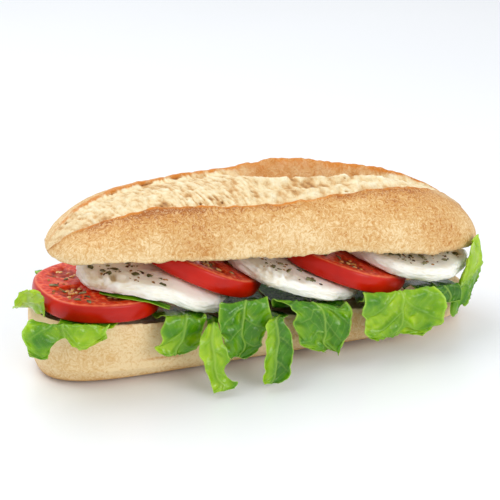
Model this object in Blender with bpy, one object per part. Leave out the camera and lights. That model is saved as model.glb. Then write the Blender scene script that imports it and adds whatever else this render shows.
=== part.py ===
"""Submarine sandwich: a split roll filled with tomato, mozzarella and lettuce.

Sizes are in millimetres up to the point where a mesh is made. X runs along the
roll, the front faces -Y, and the flat sole of the lower bun lies on Z = 0.
"""

import math

import bmesh
import bpy
import numpy as np
from mathutils import Vector

MM = 0.001

# The roll: a baguette about 25 cm long, cut lengthways, gaping wider at its left end.
ROLL_HALF_WIDTH, LOWER_HALF_WIDTH = 38.0, 37.2
UPPER_CENTRE, UPPER_HALF_LENGTH, UPPER_HEIGHT = 3.0, 122.0, 31.5
LOWER_CENTRE, LOWER_HALF_LENGTH = -4.5, 123.8
RIM_SHARE, LEFT_SOLE_SPREAD = 0.97, 0.2
UPPER_CUT_HEIGHT, UPPER_CUT_SLOPE = 60.6, -0.114
LOWER_CUT_HEIGHT, LOWER_CUT_SLOPE = 28.2, -0.0785
UPPER_DISH, LOWER_DISH = 2.5, 6.0
SHARP_ANGLE = 50.0

# How the roll narrows at its ends: (power, root) pairs for its left and right end.
WIDTH_ENDS = ((6.0, 0.42), (4.5, 0.5))
UPPER_HEIGHT_ENDS = ((2.5, 0.66), (4.6, 0.6))
SCORE_ENDS = ((8.0, 1.0), (8.0, 1.0))

# The upper bun's bend and droop at its left end, and the waves of its cut edge and
# of its torn ear, each a (height, centre, width).
UPPER_BEND, UPPER_DROOP = 14.4, 4.0
CUT_WAVES = ((3.4, 32.0, 24.0), (1.4, -85.0, 26.0), (-1.0, 84.0, 12.0))
CUT_WAVE_DEPTH = 20.0
EAR_WAVES = ((7.4, 20.0, 30.0), (3.4, 68.0, 26.0))

# Degrees round the crust, from the front rim, of the score's lip and of its ear, at
# even steps along the roll.
SCORE_REACH = 123.0
SCORE_LIP = (72, 62, 58, 52, 48, 52, 64, 72, 80, 94)
SCORE_EAR = (97, 103, 106, 106, 106, 107, 106, 103, 102, 103)
LIP_RISE = 0.7
CRUST_SQUARENESS = 2 / 2.25

# The slices: centre, radius, thickness, and how far each leans down to the right.
TOMATO_THICKNESS = 10.0
TOMATO_1 = {"centre": (-92.0, -5.0, 42.5), "radius": 33.5, "lean": 4.4}
TOMATO_2 = {"centre": (-37.7, -2.4, 51.2), "radius": 35.5, "lean": 25.0}
TOMATO_3 = {"centre": (44.0, -5.0, 41.2), "radius": 35.5, "lean": 19.0}
CHEESE_THICKNESS = 8.2
CHEESE_1 = {"centre": (-65.0, -9.0), "radii": (38.0, 32.0), "turn": -20.0, "seed": 3}
CHEESE_2 = {"centre": (12.0, -6.0), "radii": (37.0, 37.5), "turn": 0.0, "seed": 8}
CHEESE_3 = {"centre": (80.0, -5.0), "radii": (35.5, 34.5), "turn": 0.0, "seed": 14}
CHEESE_2_HEIGHT, CHEESE_2_LEAN = 41.6, 20.0
CHEESE_3_END_HEIGHT, CHEESE_3_END_SLOPE = 38.3, 0.05
REST_GAP = 0.5
SLICE_SEGMENTS, SEED_CHAMBERS, CHAMBER_DEPTH = 30, 5, 1.3
CHEESE_SEGMENTS = 34

LEAF_THICKNESS = 0.7
LEAF_CLEARANCE = 0.92
BROAD_GRID, NARROW_GRID, SMALL_GRID = (9, 17), (7, 15), (7, 11)
HERB_RADII = (1.5, 0.85, 0.5)
HERB_SPACING, HERB_EDGE_MARGIN, HERB_SLICE_MARGIN = 4.0, -4.0, 3.0
LEAF_REACH = 3.5


def clear_scene():
    for obj in list(bpy.data.objects):
        bpy.data.objects.remove(obj, do_unlink=True)


def food_material(name, colour, roughness):
    material = bpy.data.materials.new(name)
    material.use_nodes = True
    shader = material.node_tree.nodes["Principled BSDF"]
    shader.inputs["Base Color"].default_value = (*colour, 1.0)
    shader.inputs["Roughness"].default_value = roughness
    shader.inputs["Metallic"].default_value = 0.0
    return material


def add_object(name, points, faces, material):
    """A named, closed mesh from points in millimetres, its faces turned outwards."""
    mesh = bpy.data.meshes.new(name)
    mesh.from_pydata([Vector(p) * MM for p in points], [], faces)
    sorter = bmesh.new()
    sorter.from_mesh(mesh)
    bmesh.ops.recalc_face_normals(sorter, faces=sorter.faces)
    sorter.to_mesh(mesh)
    sorter.free()
    mesh.materials.append(material)
    mesh.shade_smooth()
    mesh.set_sharp_from_angle(angle=math.radians(SHARP_ANGLE))
    obj = bpy.data.objects.new(name, mesh)
    bpy.context.scene.collection.objects.link(obj)
    return obj


def loft(rings, first_pole, last_pole):
    """Points and faces of closed rings joined in a row, with a point at each end."""
    count = len(rings[0])
    points = [first_pole] + [p for ring in rings for p in ring] + [last_pole]
    faces = []
    for i in range(count):
        j = (i + 1) % count
        faces.append((0, 1 + j, 1 + i))
        for k in range(len(rings) - 1):
            a, b = 1 + k * count, 1 + (k + 1) * count
            faces.append((a + i, a + j, b + j, b + i))
        last = 1 + (len(rings) - 1) * count
        faces.append((last + i, last + j, len(points) - 1))
    return points, faces


def smooth_curve(knots, t):
    """A Catmull-Rom curve through evenly spaced knots, read at t from 0 to 1."""
    knots = np.asarray(knots, float)
    place = min(max(t, 0.0), 1.0) * (len(knots) - 1)
    i = min(int(place), len(knots) - 2)
    f = place - i
    before = knots[i - 1] if i > 0 else 2 * knots[0] - knots[1]
    after = knots[i + 2] if i + 2 < len(knots) else 2 * knots[-1] - knots[-2]
    a, b = knots[i], knots[i + 1]
    return 0.5 * (
        2 * a
        + (b - before) * f
        + (2 * before - 5 * a + 4 * b - after) * f**2
        + (3 * a - before - 3 * b + after) * f**3
    )


def bump(x, centre, width):
    return math.exp(-(((x - centre) / width) ** 2))


def waves_at(x, waves):
    return sum(height * bump(x, centre, width) for height, centre, width in waves)


def blend_step(x, start, end):
    t = min(max((x - start) / (end - start), 0.0), 1.0)
    return t * t * (3 - 2 * t)


def rounded_power(value, power):
    return math.copysign(abs(value) ** power, value)


# The bread

def end_taper(x, centre, half_length, ends):
    """1 in the middle of the roll, falling to 0 at its ends."""
    share = (x - centre) / half_length
    power, root = ends[0] if share < 0 else ends[1]
    return max(0.0, 1 - abs(share) ** power) ** root


def upper_taper(x, ends):
    return end_taper(x, UPPER_CENTRE, UPPER_HALF_LENGTH, ends)


def upper_half_width(x):
    return ROLL_HALF_WIDTH * upper_taper(x, WIDTH_ENDS) * (1 + 0.012 * math.sin(x / 21.0))


def upper_height(x):
    return UPPER_HEIGHT * upper_taper(x, UPPER_HEIGHT_ENDS)


def upper_middle_line(x):
    """The upper bun is bent: its left end comes forward."""
    return -UPPER_BEND * blend_step(-x, 10.0, 150.0)


def upper_cut(x, above=0.0):
    """The cut face's plane; its left end droops and its edge waves, less so above it."""
    droop = UPPER_DROOP * max(0.0, (-85.0 - x) / 35.0) ** 2
    wave = waves_at(x, CUT_WAVES) * max(0.0, 1 - above / CUT_WAVE_DEPTH)
    return UPPER_CUT_HEIGHT + UPPER_CUT_SLOPE * x - droop + wave


def score_angles(x):
    share = (x + SCORE_REACH) / (2 * SCORE_REACH)
    return float(smooth_curve(SCORE_LIP, share)), float(smooth_curve(SCORE_EAR, share))


def ear_rise(x):
    """How far the torn edge behind the score stands off the crust."""
    return 1.0 + waves_at(x, EAR_WAVES)


def score_relief(x, t):
    """How far the torn crumb stands off the crust's dome, t going from lip to ear."""
    opened = blend_step(x, -22.0, 0.0) * (1 - blend_step(x, 48.0, 84.0))
    shut = -1.6 + 0.9 * bump(t, 0.55, 0.3)
    ridges = -2.2 + 1.8 * bump(t, 0.3, 0.1) + 3.4 * bump(t, 0.6, 0.1)
    pocket = -6.5 * bump(t, 0.86, 0.1)
    bridge = 2.2 * bump(x, -14.0, 9.0) * bump(t, 0.7, 0.25)
    relief = shut * (1 - opened) + (ridges + pocket) * opened + bridge
    edge = blend_step(t, 0.0, 0.06)
    lip = LIP_RISE * (1 - edge)
    ear = ear_rise(x) * blend_step(t, 0.88, 1.0)
    relief = relief * (1 - blend_step(t, 0.9, 1.0))
    return upper_taper(x, SCORE_ENDS) * (lip + edge * relief + ear)


def crust_point(x, angle, rise):
    """A point on the upper bun's crust, in its own frame with the cut face at Z = 0."""
    width, height = upper_half_width(x), upper_height(x)
    across, up = math.cos(angle), math.sin(angle)
    y = -width * rounded_power(across, CRUST_SQUARENESS)
    z = height * rounded_power(up, CRUST_SQUARENESS)
    return (x, y - rise * across * 0.55, z + rise * up)


def upper_bun(material):
    """Rings across the roll: up the front crust, over the score, down the back, under."""
    stations = [
        UPPER_CENTRE + UPPER_HALF_LENGTH * math.sin(math.pi / 2 * s)
        for s in np.linspace(-0.975, 0.975, 43)
    ]
    score_steps = (0.06, 0.18, 0.3, 0.45, 0.6, 0.73, 0.86, 0.93, 1.0)
    rings = []
    for x in stations:
        lip, ear = (math.radians(a) for a in score_angles(x))
        back_rise = ear_rise(x) * upper_taper(x, SCORE_ENDS)
        ring = [crust_point(x, lip * s, LIP_RISE * s**6) for s in np.linspace(0, 1, 8)]
        ring += [
            crust_point(x, lip + (ear - lip) * t, score_relief(x, t)) for t in score_steps
        ]
        for s in np.linspace(0, 1, 8)[1:]:
            rise = back_rise * (1 - blend_step(s, 0.0, 0.45))
            ring.append(crust_point(x, ear + (math.pi - ear) * s, rise))
        width = upper_half_width(x)
        for share in (0.8, 0.4, 0.0, -0.4, -0.8):
            hollow = UPPER_DISH * (1 - share**6) * blend_step(width, 8.0, 30.0)
            ring.append((x, width * share, hollow))
        rings.append(ring)
    poles = [
        (UPPER_CENTRE + side * UPPER_HALF_LENGTH, 0.0, 0.5) for side in (-1.0, 1.0)
    ]
    points, faces = loft(rings, *poles)
    placed = [(x, y + upper_middle_line(x), z + upper_cut(x, z)) for x, y, z in points]
    return add_object("bun_upper", placed, faces, material)


def lower_half_width(x):
    taper = end_taper(x, LOWER_CENTRE, LOWER_HALF_LENGTH, WIDTH_ENDS)
    return LOWER_HALF_WIDTH * taper


def lower_cut(x):
    return LOWER_CUT_HEIGHT + LOWER_CUT_SLOPE * x


def lower_deck(x, y):
    """Height of the lower bun's cut face: the crumb is pressed in by the filling."""
    width = max(lower_half_width(x) * RIM_SHARE, 0.1)
    share = min(abs(y) / width, 1.0)
    return lower_cut(x) - LOWER_DISH * (1 - share**6) * blend_step(width, 8.0, 34.0)


def lower_bun(material):
    """Outlines from the flat sole up the bulging side, then in over the cut face.

    Each is a share of the height, of the length and of the width.
    """
    side = (
        (0.0, 0.955, 0.56), (0.03, 0.972, 0.66), (0.12, 0.985, 0.81), (0.28, 0.995, 0.94),
        (0.5, 1.0, 1.0), (0.72, 1.0, 1.0), (0.9, 0.997, 0.99), (1.0, 0.99, RIM_SHARE),
    )
    turns = np.linspace(0, 2 * math.pi, 48, endpoint=False)
    rings = []
    for height, length, width in side:
        ring = []
        for turn in turns:
            share = math.cos(turn)
            x = LOWER_CENTRE + LOWER_HALF_LENGTH * length * share
            broader_left = 1 - LEFT_SOLE_SPREAD * share * max(0.0, 1 - height / 0.5)
            half = lower_half_width(LOWER_CENTRE + LOWER_HALF_LENGTH * share)
            half *= width * broader_left
            y = math.copysign(half, math.sin(turn)) if half > 0.01 else 0.0
            ring.append((x, y, height * lower_cut(x)))
        rings.append(ring)
    for inset in (0.93, 0.84, 0.66, 0.33):
        ring = []
        for x, y, _ in rings[len(side) - 1]:
            x, y = LOWER_CENTRE + (x - LOWER_CENTRE) * inset, y * inset
            ring.append((x, y, lower_deck(x, y)))
        rings.append(ring)
    middle = (LOWER_CENTRE, 0.0, lower_deck(LOWER_CENTRE, 0.0))
    points, faces = loft(rings, (LOWER_CENTRE, 0.0, 0.0), middle)
    return add_object("bun_lower", points, faces, material)


# The slices

def leaning_height(x, spec):
    """Height of a leaning slice's middle plane at x."""
    centre = spec["centre"]
    return centre[2] - math.tan(math.radians(spec["lean"])) * (x - centre[0])


def upright_half(spec):
    """Half of a leaning tomato slice's thickness, measured straight up."""
    return TOMATO_THICKNESS / 2 / math.cos(math.radians(spec["lean"]))


def tomato_slice(name, spec, seed, material):
    """A disc with a rounded skin and shallow seed chambers in both cut faces."""
    half = TOMATO_THICKNESS / 2
    profile = [(0.34, half), (0.56, half), (0.78, half), (0.95, half - 0.1)]
    profile += [(1.0, half * 0.6), (1.01, 0.0), (1.0, -half * 0.6)]
    profile += [(r, -h) for r, h in reversed(profile[:4])]
    lean = math.radians(spec["lean"])
    centre = spec["centre"]

    def place(u, w, h):
        return (
            centre[0] + u * math.cos(lean) + h * math.sin(lean),
            centre[1] + w,
            centre[2] - u * math.sin(lean) + h * math.cos(lean),
        )

    rings = []
    for share, height in profile:
        ring = []
        for i in range(SLICE_SEGMENTS):
            angle = 2 * math.pi * i / SLICE_SEGMENTS
            lobe = SEED_CHAMBERS * angle + seed
            radius = spec["radius"] * share * (1 + 0.018 * math.sin(lobe))
            sunk = CHAMBER_DEPTH * max(0.0, math.cos(lobe)) * bump(share, 0.58, 0.12)
            h = height - math.copysign(sunk, height)
            ring.append(place(radius * math.cos(angle), radius * math.sin(angle), h))
        rings.append(ring)
    points, faces = loft(rings, place(0, 0, half), place(0, 0, -half))
    return add_object(name, points, faces, material)


def cheese_1_height(x, y):
    """It lies on the first tomato, then follows the underside of the second one."""
    half = CHEESE_THICKNESS / 2
    on_tomato = leaning_height(x, TOMATO_1) + upright_half(TOMATO_1)
    under_tomato = leaning_height(x, TOMATO_2) - upright_half(TOMATO_2)
    slanted_half = half / math.cos(math.radians(TOMATO_2["lean"]))
    low = on_tomato + 2.0 * REST_GAP + half
    high = under_tomato - REST_GAP - slanted_half
    softness = 0.7
    lying = -softness * math.log(math.exp(-low / softness) + math.exp(-high / softness))
    curled = 1.7 * blend_step(-y, 10.0, 24.0) * bump(x, -82.0, 14.0)
    drooping = 4.5 * blend_step(-y, 24.0, 42.0) * blend_step(x, -72.0, -50.0)
    return lying + curled - drooping


def cheese_2_height(x, y):
    lean = math.tan(math.radians(CHEESE_2_LEAN))
    return CHEESE_2_HEIGHT - lean * (x - CHEESE_2["centre"][0])


def cheese_3_height(x, y):
    """It leans on the third tomato and sags on to the lettuce beyond it."""
    half = CHEESE_THICKNESS / 2
    slanted_half = half / math.cos(math.radians(TOMATO_3["lean"]))
    on_tomato = leaning_height(x, TOMATO_3) + upright_half(TOMATO_3) + REST_GAP + slanted_half
    softness = 1.6
    sagging = CHEESE_3_END_HEIGHT - CHEESE_3_END_SLOPE * (x - 95.0)
    return softness * math.log(math.exp(on_tomato / softness) + math.exp(sagging / softness))


def torn_edge(angle, seed):
    """Share of its radius that a cheese slice reaches at an angle."""
    return (
        1
        + 0.022 * math.sin(3 * angle + seed)
        + 0.016 * math.sin(7 * angle + 2.1 * seed)
        + 0.012 * math.sin(13 * angle + 0.7 * seed)
    )


def cheese_slice(name, spec, middle_height, material):
    """A soft slice whose middle surface follows what it lies on."""
    half = CHEESE_THICKNESS / 2
    profile = [(0.45, half), (0.8, half), (0.95, half * 0.85), (1.01, half * 0.3)]
    profile += [(1.0, -half * 0.4), (0.95, -half * 0.88), (0.8, -half), (0.45, -half)]
    turn = math.radians(spec["turn"])
    cx, cy = spec["centre"]
    long_radius, short_radius = spec["radii"]

    def place(share, angle, h):
        u = long_radius * share * math.cos(angle)
        w = short_radius * share * math.sin(angle)
        x = cx + u * math.cos(turn) - w * math.sin(turn)
        y = cy + u * math.sin(turn) + w * math.cos(turn)
        slope = (middle_height(x + 1, y) - middle_height(x - 1, y)) / 2
        steep = math.hypot(1.0, slope)
        return (x - h * slope / steep, y, middle_height(x, y) + h / steep)

    rings = []
    for share, height in profile:
        ring = []
        for i in range(CHEESE_SEGMENTS):
            angle = 2 * math.pi * i / CHEESE_SEGMENTS
            reach = share * (torn_edge(angle, spec["seed"]) if share > 0.6 else 1.0)
            ring.append(place(reach, angle, height))
        rings.append(ring)
    points, faces = loft(rings, place(0, 0, half), place(0, 0, -half))
    return add_object(name, points, faces, material)


# The herbs

def covers(spec, x, y, margin):
    """Whether a slice lies over or under a place, seen from above."""
    turn = math.radians(spec.get("turn", 0.0))
    long_radius, short_radius = spec.get("radii", (spec.get("radius"),) * 2)
    long_radius *= math.cos(math.radians(spec.get("lean", 0.0)))
    dx, dy = x - spec["centre"][0], y - spec["centre"][1]
    u = dx * math.cos(turn) + dy * math.sin(turn)
    w = dy * math.cos(turn) - dx * math.sin(turn)
    return math.hypot(u / (long_radius + margin), w / (short_radius + margin)) < 1.0


def herb_flake(name, place, normal, turn, collection):
    """One flat, pointed flake of dried herb, half sunk into the slice under it."""
    long_radius, short_radius, thick_radius = HERB_RADII
    normal = Vector(normal).normalized()
    along = normal.orthogonal().normalized()
    along = along * math.cos(turn) + normal.cross(along) * math.sin(turn)
    across = normal.cross(along)
    centre = Vector(place)
    points = []
    for height in (-0.6, 0.35):
        for i in range(6):
            angle = math.pi * i / 3
            flat = along * (long_radius * math.cos(angle)) + across * (short_radius * math.sin(angle))
            points.append(centre + flat + normal * (thick_radius * height))
    points = [centre - normal * thick_radius] + points + [centre + normal * (thick_radius * 0.9)]
    faces = []
    for i in range(6):
        j = (i + 1) % 6
        faces.append((0, 1 + j, 1 + i))
        faces.append((1 + i, 1 + j, 7 + j))
        faces.append((1 + i, 7 + j, 7 + i))
        faces.append((7 + i, 7 + j, 13))
    mesh = bpy.data.meshes.new(name)
    mesh.from_pydata([Vector(p) * MM for p in points], [], faces)
    obj = bpy.data.objects.new(name, mesh)
    collection.objects.link(obj)
    return obj


def strew_herbs(slice_object, own, upper, box, count, seed):
    """Fuse flakes to a slice's upper face, clear of its edge and of the slice above it."""
    random = np.random.default_rng(seed)
    flakes = bpy.data.collections.new(slice_object.name + "_herbs")
    bpy.context.scene.collection.children.link(flakes)
    placed = []
    for _ in range(count * 60):
        x, y = random.uniform(box[0], box[1]), random.uniform(box[2], box[3])
        turn = random.uniform(0, math.pi)
        if len(placed) == count or not covers(own, x, y, HERB_EDGE_MARGIN):
            continue
        if upper and covers(upper, x, y, HERB_SLICE_MARGIN):
            continue
        start = Vector((x, y, 120.0)) * MM
        hit, place, normal, _ = slice_object.ray_cast(start, Vector((0, 0, -1)))
        place = place / MM
        crowded = any((place - other).length < HERB_SPACING for other in placed)
        if not hit or normal.z < 0.8 or crowded:
            continue
        placed.append(place)
        herb_flake(f"flake_{len(placed)}", place, normal, turn, flakes)
    join = slice_object.modifiers.new("herbs", "BOOLEAN")
    join.operation = "UNION"
    join.operand_type = "COLLECTION"
    join.collection = flakes
    join.solver = "EXACT"
    bpy.context.view_layer.update()
    graph = bpy.context.evaluated_depsgraph_get()
    fused = bpy.data.meshes.new_from_object(slice_object.evaluated_get(graph))
    slice_object.modifiers.clear()
    slice_object.data = fused
    for flake in list(flakes.objects):
        bpy.data.objects.remove(flake, do_unlink=True)
    bpy.data.collections.remove(flakes)


# The lettuce

def laid(x, y, half_width, lift=1.0):
    """A row of a leaf lying on the lower bun's cut face."""
    z = lower_deck(x, y) + lift
    return (x - half_width, y, z, x + half_width, y, z, 0.1)


def over_rim(x, side, half_width, lift=1.0):
    """A row where a leaf crosses the lower bun's rim; side is -1 at the front."""
    y = side * (lower_half_width(x) + 0.4)
    left, right = lower_cut(x - half_width) + lift, lower_cut(x + half_width) + lift
    return (x - half_width, y, left, x + half_width, y, right, 0.1)


def underside(x, y, reach):
    """Height of the lowest slice above a place, or None where no slice covers it."""
    heights = []
    for spec in (TOMATO_1, TOMATO_2, TOMATO_3):
        if covers(spec, x, y, reach):
            heights.append(leaning_height(x, spec) - upright_half(spec))
    cheeses = ((CHEESE_1, cheese_1_height), (CHEESE_2, cheese_2_height), (CHEESE_3, cheese_3_height))
    for spec, height in cheeses:
        if covers(spec, x, y, reach):
            heights.append(height(x, y) - CHEESE_THICKNESS / 2 * 1.07)
    return min(heights) if heights else None


def resting(x, y):
    """The lower bun's highest point near a place, or None beside the bun.

    A leaf's rows of points are further apart at the back, so it looks further there.
    """
    heights = []
    reach = 9.0 if y > 0 else 6.0
    for dx in (-2.0, 0.0, 2.0):
        for dy in np.linspace(-reach, reach, 9):
            if abs(y + dy) < lower_half_width(x + dx) + 0.3:
                heights.append(lower_deck(x + dx, y + dy))
    return max(heights) if heights else None


def between_bread_and_slices(point, reach):
    """Press a leaf's point under the slices, then lift it off the bread."""
    z = point.z
    above = underside(point.x, point.y, reach)
    if above is not None:
        z = min(z, above - LEAF_CLEARANCE)
    below = resting(point.x, point.y)
    if below is not None:
        z = max(z, below + LEAF_CLEARANCE)
    return Vector((point.x, point.y, z))


def ruffle(leaf, u, v, edge, reach):
    """Waves that grow towards a leaf's margin, in millimetres along its normal."""
    wave = math.sin(2 * math.pi * leaf["waves"] * v + leaf["phase"] + 2.2 * u)
    cross = math.sin(5.0 * u + 1.7 * leaf["phase"] + 4.0 * v)
    return reach * (edge**2 * wave + 0.35 * cross)


def leaf_surface(leaf, u, v):
    """A point on the leaf's middle surface: v runs from root to tip, u across."""
    v -= (1 - float(smooth_curve(leaf["hem"], (u + 1) / 2))) * v**3
    rows, step = leaf["rows"], 0.02
    here = smooth_curve(rows, v)
    ahead = smooth_curve(rows, min(v + step, 1.0)) - smooth_curve(rows, max(v - step, 0.0))
    chord = Vector((here[3:6] - here[:3]) / 2)
    outward = chord.cross(Vector(ahead[:3] + ahead[3:6])).normalized()
    half, reach = chord.length, max(here[6], 0.0)
    cup = leaf["cup"] * blend_step(v, 0.3, 0.8)
    bend = math.sin(cup * u) / cup if abs(cup) > 0.01 else u
    lift = half * (1 - math.cos(cup * u)) / cup if abs(cup) > 0.01 else 0.0
    bend *= 1 + 0.04 * reach * math.sin(2 * math.pi * leaf["waves"] * 1.4 * v + leaf["phase"] + u)
    lift += ruffle(leaf, u, v, max(abs(u), blend_step(v, 0.75, 1.0)), reach)
    point = Vector((here[:3] + here[3:6]) / 2) + chord * bend + outward * lift
    if leaf.get("on_top"):
        return point
    return between_bread_and_slices(point, leaf.get("reach", LEAF_REACH))


def leaf_solid(name, leaf, material):
    """A thin wavy solid whose two faces are split into triangles alike."""
    across_count, along_count = leaf["grid"]
    us = np.linspace(-1, 1, across_count)
    vs = 1 - (1 - np.linspace(0, 1, along_count)) ** 1.4
    middle = [[leaf_surface(leaf, u, v) for u in us] for v in vs]
    points = []
    for side in (1, -1):
        for j in range(along_count):
            for i in range(across_count):
                along = middle[min(j + 1, along_count - 1)][i] - middle[max(j - 1, 0)][i]
                across = middle[j][min(i + 1, across_count - 1)] - middle[j][max(i - 1, 0)]
                normal = across.cross(along).normalized()
                points.append(middle[j][i] + normal * (side * LEAF_THICKNESS / 2))
    back = along_count * across_count
    faces = []
    for j in range(along_count - 1):
        for i in range(across_count - 1):
            a = j * across_count + i
            b, c, d = a + 1, a + 1 + across_count, a + across_count
            faces += [(a, b, c), (a, c, d)]
            faces += [(back + c, back + b, back + a), (back + d, back + c, back + a)]
    rim = list(range(across_count))
    rim += [j * across_count + across_count - 1 for j in range(1, along_count)]
    rim += [back - 1 - i for i in range(1, across_count)]
    rim += [j * across_count for j in range(along_count - 2, 0, -1)]
    for a, b in zip(rim, rim[1:] + rim[:1]):
        faces.append((b, a, back + a, back + b))
    return add_object(name, points, faces, material)


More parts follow.
